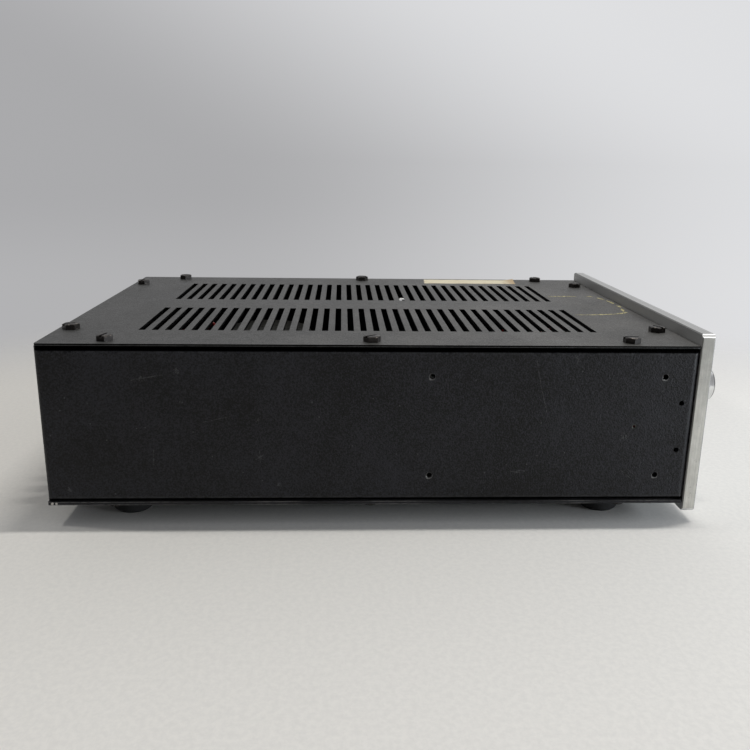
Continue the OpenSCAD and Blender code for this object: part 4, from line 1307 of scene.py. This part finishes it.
    def add_glue(self) -> None:
        """Lay the glue trace: a low arched bead carried along each run, thin at its ends."""
        widest, arch, lift, steps = 1.15, 0.22, 0.005, 22
        across = np.linspace(-1.0, 1.0, 9)
        beads = []
        for number, run in enumerate(self.glue):
            path = curve_through(np.array(run) + [0.0, self.panel_y], steps)
            way = np.gradient(path, axis=0)
            way /= np.linalg.norm(way, axis=1, keepdims=True)
            side = np.stack([-way[:, 1], way[:, 0]], axis=-1)
            s = np.linspace(0.0, 1.0, len(path))
            swell = 0.35 * np.sin(19.0 * s + 2.0 * number) * np.sin(11.0 * s)
            ragged = 0.6 + swell + 0.15 * np.sin(47.0 * s)
            half = widest * ragged * np.sqrt(np.clip(np.sin(np.pi * s), 0.02, 1.0))
            flat = path[:, None, :] + side[:, None, :] * (half[:, None] * across)[..., None]
            rise = self.top + lift + arch * half[:, None] * (1.0 - across**2)
            points = np.concatenate([flat, rise[..., None]], axis=-1) * MM
            beads.append((points, grid_faces(len(path), len(across))[:, ::-1]))
        glue = DryGlue("old_glue", (0.46, 0.41, 0.2)).material()
        add_piece("glue_trace", join(beads), glue)

    def add_fleck(self) -> None:
        """Wedge the paper fleck into a vent: a small crumpled patch, a dome with folds."""
        rows, sunk, half_x, half_y = 25, 0.1, 1.5, 1.3
        span = np.linspace(-1.0, 1.0, rows)
        u, v = np.meshgrid(span, span, indexing="ij")
        dome = 0.5 * (1.0 - 0.5 * (u**2 + v**2))
        folds = 0.12 * np.sin(7.0 * u + 2.0 * v) * np.cos(5.0 * v)
        x = self.fleck[0] + half_x * u * (1.0 - 0.2 * v**2)
        y = self.panel_y + self.fleck[1] + half_y * v
        points = np.stack([x, y, self.top - sunk + dome + folds], axis=-1) * MM
        paper = Paper("fleck_paper", (0.84, 0.83, 0.8), (0.7, 0.67, 0.6)).material()
        fleck = (points, grid_faces(rows, rows))
        thicken(add_piece("paper_fleck", fleck, paper), 0.2, -1.0)

    def turned_on_side(self, side: Side, hole: Hole, radii: np.ndarray, deep: np.ndarray,
                       turn: np.ndarray) -> Surface:
        """Surface turned round the axis of a hole in one of the sides.

        Args:
            side: The side.
            hole: The hole.
            radii: Radii, a row for each ring.
            deep: Depth of each ring below the side's face.
            turn: Angles round the axis.

        Returns:
            Points, in metres, and faces.
        """
        half_width = -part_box("left_side_panel")[0].x / MM
        rings = np.broadcast_to(radii, (len(deep), len(turn)))
        x = np.broadcast_to(side.value * (half_width - deep[:, None]), rings.shape)
        y = self.panel_y + hole.depth + rings * np.cos(turn)
        points = np.stack([x, y, hole.height + rings * np.sin(turn)], axis=-1) * MM
        return points, grid_faces(len(deep), len(turn), loop=True)[:, ::side.value]

    def add_hole_rims(self) -> None:
        """Lay a ragged crescent, rubbed steel and painted highlight, on each threaded rim: widest
        low at the rear, turned inwards.
        """
        turn = np.linspace(0.0, 2.0 * math.pi, 40, endpoint=False)
        low_left = 0.5 - 0.5 * np.sin(turn - math.radians(30.0))
        wide = 0.04 + 0.6 * low_left**3 * (0.75 + 0.25 * np.sin(5.0 * turn))
        share = np.array([1.0, 0.66, 0.33, 0.0, 0.0])
        inward = np.array([0.0, 0.0, 0.0, 0.02, 0.06])
        deep = np.array([-0.004, -0.008, -0.008, 0.02, 0.4])
        band = share[:, None] * wide - inward[:, None]
        rims = [self.turned_on_side(side, hole, hole.radius + band, deep, turn)
                for side in Side for hole in self.threaded]
        steel = WornSteel("rubbed_rim", (0.1, 0.1, 0.1), (0.55, 0.55, 0.53)).material()
        add_piece("hole_rims", join(rims), steel)

    def add_rivets(self) -> None:
        """Set a hollow rivet into the single hole of each side: a rounded ring, sunk in."""
        clearance, sunk, rise = 0.03, 0.6, 0.35
        turn = np.linspace(0.0, 2.0 * math.pi, 32, endpoint=False)
        bend = np.linspace(0.0, math.pi, 9)
        radius = self.riveted.radius
        radii = radius - clearance - 0.2 * radius * (1.0 - np.cos(bend))
        deep = sunk - rise * np.sin(bend)
        rings = [self.turned_on_side(side, self.riveted, radii[:, None], deep, turn)
                 for side in Side]
        zinc = Plated("rivet_zinc", (0.16, 0.163, 0.15), (0.05, 0.05, 0.045), 0.45).material()
        add_piece("side_rivets", join(rings), zinc)

    def build(self) -> None:
        """Dress the case and add what lies on it."""
        self.dress()
        self.add_label()
        self.add_glue()
        self.add_fleck()
        self.add_hole_rims()
        self.add_rivets()


@dataclass
class FrontPanel:
    """Front panel with its knobs, levers, button and lamp, and the dials printed on it.

    Attributes:
        frame: The loaded frame.
        knob_x: Axes of the knobs. All lengths here are in millimetres.
        knob_z: Height of the knobs.
        lower_z: Height of the lower row.
        sweeps: For each knob its number of marks and the angle of the last one, in degrees.
        tick: Distances of a mark's two ends from the knob's axis.
        tick_half: Half the width of a mark.
        number_r: Distance of the numbers from the knob's axis.
        number_height: Height of the numbers.
        power_marks: Offset, rise and height of the marks beside the power button.
        toggle_marks: The same for the marks beside each toggle switch.
        corner: Cut across the corners of the panel.
        face_y: Where the print lies.
    """

    frame: dict
    knob_x: tuple[float, ...] = (-69.9, -23.3, 23.3, 69.9)
    knob_z: float = 61.15
    lower_z: float = 31.95
    sweeps: tuple[tuple[int, float], ...] = ((5, 60.0), (3, 30.0), (11, 150.0), (11, 150.0))
    tick: Pair = (10.2, 12.4)
    tick_half: float = 0.22
    number_r: float = 14.9
    number_height: float = 2.6
    power_marks: Point = (9.0, 2.6, 2.8)
    toggle_marks: Point = (8.0, 4.0, 2.4)
    corner: float = 1.6
    face_y: float = field(init=False)

    def __post_init__(self) -> None:
        """Read where the panel's face lies."""
        self.face_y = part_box("front_panel")[0].y / MM - PRINT_GAP

    def dress(self) -> None:
        """Finish the panel and what stands on it."""
        low, high = (tuple(corner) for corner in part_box("front_panel"))
        pitch = (self.knob_x[1] - self.knob_x[0]) * MM
        knob = TurnedMetal("turned_knob", (0.83, 0.835, 0.83), pitch, self.knob_x[0] * MM,
                           self.knob_z * MM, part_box("selector_knob")[0].y)
        button = TurnedMetal("turned_button", (0.8, 0.8, 0.79), pitch, self.knob_x[3] * MM,
                             self.lower_z * MM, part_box("power_button")[0].y)
        plate = BrushedPlate("brushed_panel", (0.63, 0.63, 0.615), low, high, self.corner * MM)
        switch = Bushed("toggle_switch", (0.16, 0.012, 0.012), (0.66, 0.63, 0.56), high[1])
        lens = Lens("lamp_lens", (0.5, 0.02, 0.015))
        knob_finish = knob.material()
        for name in ("selector", "mode", "balance", "volume"):
            finish_node(self.frame, f"{name}_knob", knob_finish)
        for node, finish in (("front_panel", plate), ("power_button", button),
                             ("toggle_switches", switch), ("power_lamp", lens)):
            finish_node(self.frame, node, finish.material())

    def ticks(self) -> Surface:
        """Marks round the knobs: thin bars that point at the knob's axis.

        Returns:
            Points and faces of all bars.
        """
        along = np.repeat(self.tick, 2)
        across = self.tick_half * np.array([-1.0, 1.0, 1.0, -1.0])
        bars = []
        for x, (count, last) in zip(self.knob_x, self.sweeps):
            angle = np.radians(np.linspace(-last, last, count))[:, None]
            px = x + along * np.sin(angle) + across * np.cos(angle)
            pz = self.knob_z + along * np.cos(angle) - across * np.sin(angle)
            points = np.stack([px, np.full_like(px, self.face_y), pz], axis=-1) * MM
            bars.append((points, np.arange(4 * count).reshape(-1, 4)[:, ::-1]))
        return join(bars)

    def on_off(self, x: float, marks: Point) -> list[Word]:
        """The marks I and O beside a switch in the lower row.

        Args:
            x: Middle of the switch.
            marks: Offset of the marks along x, their rise from the row, and their height.

        Returns:
            The two words.
        """
        offset, rise, height = marks
        return [("I", (x + offset, self.face_y, self.lower_z + rise), height),
                ("O", (x + offset, self.face_y, self.lower_z - rise), height)]

    def add_marks(self) -> None:
        """Print the dials' bars, the numbers round them and the marks of the switches."""
        ink = Ink("black_ink", (0.02, 0.02, 0.02)).material()
        add_piece("dial_bars", self.ticks(), ink, smooth=False)
        words = []
        for x, (count, last) in zip(self.knob_x, self.sweeps):
            first = 1 if count < 10 else 0
            for number, angle in enumerate(np.radians(np.linspace(-last, last, count))):
                place = (x + self.number_r * math.sin(angle), self.face_y,
                         self.knob_z + self.number_r * math.cos(angle))
                words.append((str(first + number), place, self.number_height))
        words += self.on_off(self.knob_x[3], self.power_marks)
        for x in self.knob_x[:3]:
            words += self.on_off(x, self.toggle_marks)
        upright = Matrix.Rotation(math.radians(90.0), 4, "X")
        print_words("dial_numbers", words, upright, ink)

    def build(self) -> None:
        """Dress the panel and print its dials."""
        self.dress()
        self.add_marks()


@dataclass
class RearPanel:
    """Sockets at the rear and the marks printed beside them.

    Attributes:
        frame: The loaded frame.
        jack_x: Columns of the jacks, in millimetres.
        jack_z: Rows of the jacks.
        beside: Distance of the marks from the jacks.
        letter: Height of the letters.
        earth: Bars of the earth sign as (height of its middle, half its width, half its height).
        earth_rise: Height of the sign above the ground screw.
    """

    frame: dict
    jack_x: tuple[float, ...] = tuple(-24.0 + 14.0 * (i - 3.5) for i in range(8))
    jack_z: Pair = (39.4, 59.4)
    beside: float = 10.0
    letter: float = 3.0
    earth: tuple[Point, ...] = (
        (1.6, 0.25, 1.6), (0.0, 2.4, 0.25), (-1.0, 1.5, 0.25), (-2.0, 0.7, 0.25),
    )
    earth_rise: float = 6.5

    def dress(self) -> None:
        """Finish the jacks' insulators, the lower row red and the upper row white."""
        red, white = (0.32, 0.012, 0.012), (0.62, 0.6, 0.55)
        middle = 0.5 * (self.jack_z[0] + self.jack_z[1]) * MM
        insulator = Moulded("jack_insulator", red, 0.36, 0.01, white, middle)
        finish_node(self.frame, "jack_insulators", insulator.material())

    def add_marks(self) -> None:
        """Print the columns' numbers, the rows' letters and an earth sign, three bars on a stem."""
        ink = Ink("white_ink", (0.6, 0.6, 0.58)).material()
        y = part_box("rear_panel")[1].y / MM + PRINT_GAP
        lower, upper = self.jack_z
        column = self.jack_x[-1] + self.beside
        words = [(str(i + 1), (x, y, lower - self.beside), self.letter)
                 for i, x in enumerate(reversed(self.jack_x))]
        words += [("R", (column, y, lower), self.letter), ("L", (column, y, upper), self.letter)]
        upright = Matrix.Rotation(math.radians(90.0), 4, "X")
        backwards = Matrix.Rotation(math.radians(180.0), 4, "Z")
        print_words("socket_numbers", words, backwards @ upright, ink)
        low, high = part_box("ground_screw")
        middle, half_x, half_z = np.array(self.earth).T[..., None]
        px = 0.5 * (low.x + high.x) / MM + half_x * np.array([-1.0, 1.0, 1.0, -1.0])
        pz = high.z / MM + self.earth_rise + middle + half_z * np.array([-1.0, -1.0, 1.0, 1.0])
        points = np.stack([px, np.full_like(px, y), pz], axis=-1) * MM
        faces = np.arange(px.size).reshape(-1, 4)[:, ::-1]
        add_piece("earth_sign", (points, faces), ink, smooth=False)

    def build(self) -> None:
        """Dress the sockets and print their marks."""
        self.dress()
        self.add_marks()


@dataclass
class Inside:
    """Everything that takes a plain finish: fasteners, switches, boards and leads.

    Attributes:
        frame: The loaded frame.
    """

    frame: dict

    def finishes(self) -> dict[str, Finish]:
        """Finishes by the record's material slots.

        Returns:
            A finish for each slot that the other classes leave.
        """
        grey, black, aluminium = (0.3, 0.3, 0.29), (0.012, 0.012, 0.0125), (0.6, 0.6, 0.6)
        return {
            "dark_steel": WornSteel("dark_screws", (0.012, 0.0098, 0.0085), (0.32, 0.28, 0.24)),
            "zinc_steel": Plated("zinc", (0.52, 0.52, 0.5), grey, 0.3),
            "nickel": Plated("nickel", (0.66, 0.63, 0.56), (0.42, 0.38, 0.3), 0.18),
            "can_steel": Plated("can", (0.055, 0.055, 0.048), (0.03, 0.03, 0.026), 0.5),
            "standoff_brass": Plated("brass", (0.6, 0.44, 0.17), (0.36, 0.24, 0.1), 0.28),
            "fuse_metal": Plated("fuse_clips", (0.6, 0.54, 0.42), grey, 0.25),
            "black_heat_sink": Moulded("black_anodising", (0.014, 0.014, 0.015), 0.4, 0.012),
            "foot_rubber": Moulded("rubber", (0.008, 0.008, 0.0085), 0.72, 0.05),
            "switch_wafer": Moulded("phenolic", (0.24, 0.19, 0.11), 0.5, 0.03),
            "switch_black": Moulded("power_body", black, 0.45, 0.02),
            "inlet_plastic": Moulded("inlet_plastic", black, 0.5, 0.03),
            # Green lacquer, made darker as painted shade so the inside seen through the holes looks
            # dark
            "board_laminate": Laminate("laminate", (0.004, 0.024, 0.01), (0.013, 0.055, 0.022)),
            "film_capacitor": Moulded("film_dip", (0.3, 0.012, 0.01), 0.28, 0.02),
            "capacitor_sleeve": Moulded("sleeve", (0.012, 0.02, 0.05), 0.3, 0.01, cap=aluminium),
            "chip_epoxy": Moulded("epoxy", (0.01, 0.01, 0.011), 0.55, 0.03),
            "resistor_body": Moulded("lacquer", (0.42, 0.27, 0.12), 0.4, 0.02),
            "wound_core": Moulded("winding_tape", (0.32, 0.18, 0.04), 0.4, 0.03),
            "red_insulation": Moulded("red_lead", (0.36, 0.012, 0.01), 0.42, 0.01),
            # Grey insulation made near-black as painted shade, as it shows through a hole
            "grey_insulation": Moulded("grey_lead", (0.045, 0.045, 0.047), 0.5, 0.02),
        }

    def round_leads(self) -> None:
        """Round the leads' eight flat sides off."""
        for node in ("red_leads", "signal_lead"):
            lead = self.frame["nodes"][node]
            weld = lead.modifiers.new("weld", "WELD")
            weld.merge_threshold = 0.001 * MM
            smooth = lead.modifiers.new("round", "SUBSURF")
            smooth.levels = 1
            smooth.render_levels = 1

    def build(self) -> None:
        """Dress each node by its slot, darken the clinch nuts as painted shade in the holes and
        round the leads.
        """
        materials = {slot: finish.material() for slot, finish in self.finishes().items()}
        for part in self.frame["record"]["subparts"]:
            if part["material_slot"] in materials:
                finish_node(self.frame, part["node"], materials[part["material_slot"]])
        # Painted shade: the clinch nuts are near-black so the threaded holes look dark
        shaded_nuts = Plated("oiled_nuts", (0.03, 0.03, 0.028), (0.014, 0.014, 0.013), 0.5)
        finish_node(self.frame, "clinch_nuts", shaded_nuts.material())
        self.round_leads()


@dataclass(frozen=True)
class Lamp:
    """A soft lamp that looks at the unit.

    Attributes:
        name: Name of the lamp.
        place: Where it hangs, in metres.
        size: Its width and length.
        power: Its power in watts.
        colour: Its colour.
        target: What it looks at.
    """

    name: str
    place: Point
    size: Pair
    power: float
    colour: Colour = (1.0, 0.985, 0.955)
    target: Point = (0.0, 0.0, 0.04)

    def build(self) -> None:
        """Hang the lamp, out of the camera's sight."""
        data = bpy.data.lights.new(self.name, "AREA")
        data.shape = "RECTANGLE"
        data.size, data.size_y = self.size
        data.energy = self.power
        data.color = self.colour
        lamp = bpy.data.objects.new(self.name, data)
        bpy.context.scene.collection.objects.link(lamp)
        lamp.visible_camera = False
        lamp.location = self.place
        way = Vector(self.target) - Vector(self.place)
        lamp.rotation_euler = way.to_track_quat("-Z", "Y").to_euler()


@dataclass
class Studio:
    """Camera, floor, sky and lamps.

    Attributes:
        eye: Place of the camera, in metres, its y behind the back of the front panel.
        turn: Rotation vector from the looking-along-+X pose, in radians.
        focal: Focal length in pixels of a square picture.
        picture: Side of that picture, in pixels.
        floor_front: Colour of the floor at the unit's front.
        floor_rear: Colour of the floor at its rear.
        floor_near: Colour of the floor near the camera.
        fibres: Colour of the fibres in the floor.
        lamps: The lamps.
    """

    eye: Point = (-0.45241, 0.16642, 0.16891)
    turn: Point = (0.2653, -0.0418, 0.0086)
    focal: float = 785.87
    picture: float = 750.0
    floor_front: Colour = (0.735, 0.72, 0.69)
    floor_rear: Colour = (0.66, 0.645, 0.608)
    floor_near: Colour = (0.82, 0.8, 0.76)
    fibres: Colour = (0.4, 0.4, 0.4)
    lamps: tuple[Lamp, ...] = (
        Lamp("tube", (0.012, -0.34, 1.5), (0.04, 0.575), 11.9),
        Lamp("bulb", (-0.042, 0.53, 0.65), (0.05, 0.056), 0.96),
        Lamp("window", (-0.204, -0.724, 0.124), (0.49, 0.09), 4.6, (0.86, 0.93, 1.0)),
    )

    def add_camera(self) -> None:
        """Stand the camera where the photograph was taken from."""
        data = bpy.data.cameras.new("camera")
        data.sensor_fit = "HORIZONTAL"
        data.sensor_width = 36.0
        data.lens = self.focal / self.picture * data.sensor_width
        data.clip_start = 0.01
        camera = bpy.data.objects.new("camera", data)
        bpy.context.scene.collection.objects.link(camera)
        angle = Vector(self.turn).length
        bend = Matrix.Rotation(angle, 3, Vector(self.turn))
        level = Matrix(((0.0, -1.0, 0.0), (0.0, 0.0, -1.0), (1.0, 0.0, 0.0)))
        right, down, ahead = bend @ level
        basis = Matrix((right, -down, -ahead)).transposed()
        panel = Vector((0.0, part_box("front_panel")[1].y, 0.0))
        camera.matrix_world = Matrix.Translation(panel + Vector(self.eye)) @ basis.to_4x4()
        bpy.context.scene.camera = camera

    def add_floor(self) -> None:
        """Lay the floor: a wide disc of rings and turns that fades into the backdrop."""
        rings, turns = np.array([0.0, 0.3, 0.8, 2.0, 6.0, 20.0]), 64
        angles = np.linspace(0.0, 2.0 * math.pi, turns, endpoint=False)
        radius, turn = np.meshgrid(rings, angles, indexing="ij")
        height = np.zeros_like(radius)
        points = np.stack([radius * np.cos(turn), radius * np.sin(turn), height], axis=-1)
        shader = Shader("floor")
        x, y, _ = shader.axes(shader.place)
        fibre = shader.noise(shader.place, 420.0, 4.0, 0.65)
        # Painted light: the floor is lighter towards the unit's front and near the camera, darker
        # towards the rear
        base = shader.mix(shader.ramp(y, (-0.3, 0.3)), self.floor_front, self.floor_rear)
        base = shader.mix(shader.ramp(x, (-0.28, -0.14), (0.55, 0.0)), base, self.floor_near)
        base = shader.mix(shader.ramp(fibre, SPREAD, (0.0, 0.16)), base, self.fibres)
        shader.surface(base, 0.7)
        shader.feed("Specular IOR Level", 0.15)
        reach = shader.vector("DISTANCE", shader.place, (-0.25, 0.0, 0.0))
        shader.feed("Alpha", shader.ramp(reach, (0.44, 0.72), FALL))
        shader.bump(fibre, 0.02 * MM)
        disc = (points, grid_faces(len(rings), turns, loop=True))
        floor = add_piece("floor", disc, shader.material, body=None, smooth=False)

    def add_sky(self) -> None:
        """Light the scene from all round by a pale wall, brighter to one side, and a dimmer room.

        The camera sees the wall on every side. Metal mirrors the room on the side that the
        photograph was taken from, where only a low band towards the front is bright.
        """
        world = bpy.data.worlds.new("studio")
        world.use_nodes = True
        bpy.context.scene.world = world
        graph = Graph(world.node_tree)
        out = world.node_tree.nodes["Background"]
        x, y, z = graph.axes(graph.add("TexCoord", output="Generated"))
        side = graph.highest(z, 0.0) * 1.7 - y
        wall = graph.mix(graph.ramp(side, (-0.18, 0.57)), (0.4, 0.4, 0.41), (0.735, 0.74, 0.755))
        wall = graph.mix(graph.ramp(z, (-0.15, -0.03), (0.1, 0.0)), wall, (0.85, 0.85, 0.86))
        light = graph.mix(graph.ramp(z, (-0.2, 0.9)), (0.42, 0.425, 0.45), (0.32, 0.32, 0.33))
        glow = graph.ramp(y, (-0.6, 0.3), FALL) * graph.ramp(z, (0.05, 0.5), (1.0, 0.8))
        room = graph.mix(glow, (0.06, 0.064, 0.075), (0.5, 0.5, 0.51))
        before = graph.ramp(x, (-0.45, 0.1), FALL) * graph.ramp(z, (-0.12, 0.04))
        path = graph.node("LightPath")
        glossy, through = graph.read(path, "Is Glossy Ray"), graph.read(path, "Is Transmission Ray")
        lit = graph.mix(graph.highest(glossy, through), light, wall)
        around = graph.mix(before, lit, room)
        graph.put(out.inputs["Color"], graph.mix(graph.read(path, "Is Camera Ray"), around, wall))
        out.inputs["Strength"].default_value = 1.0

    def build(self) -> None:
        """Set the studio up."""
        self.add_camera()
        self.add_floor()
        self.add_sky()
        for lamp in self.lamps:
            lamp.build()
        bpy.context.scene.view_settings.view_transform = "Standard"


def main() -> None:
    """Dress the loaded frame and set up the studio."""
    logging.basicConfig(level=logging.INFO, format="%(message)s")
    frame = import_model()
    Case(frame).build()
    FrontPanel(frame).build()
    RearPanel(frame).build()
    Inside(frame).build()
    Studio().build()


if __name__ == "__main__":
    main()
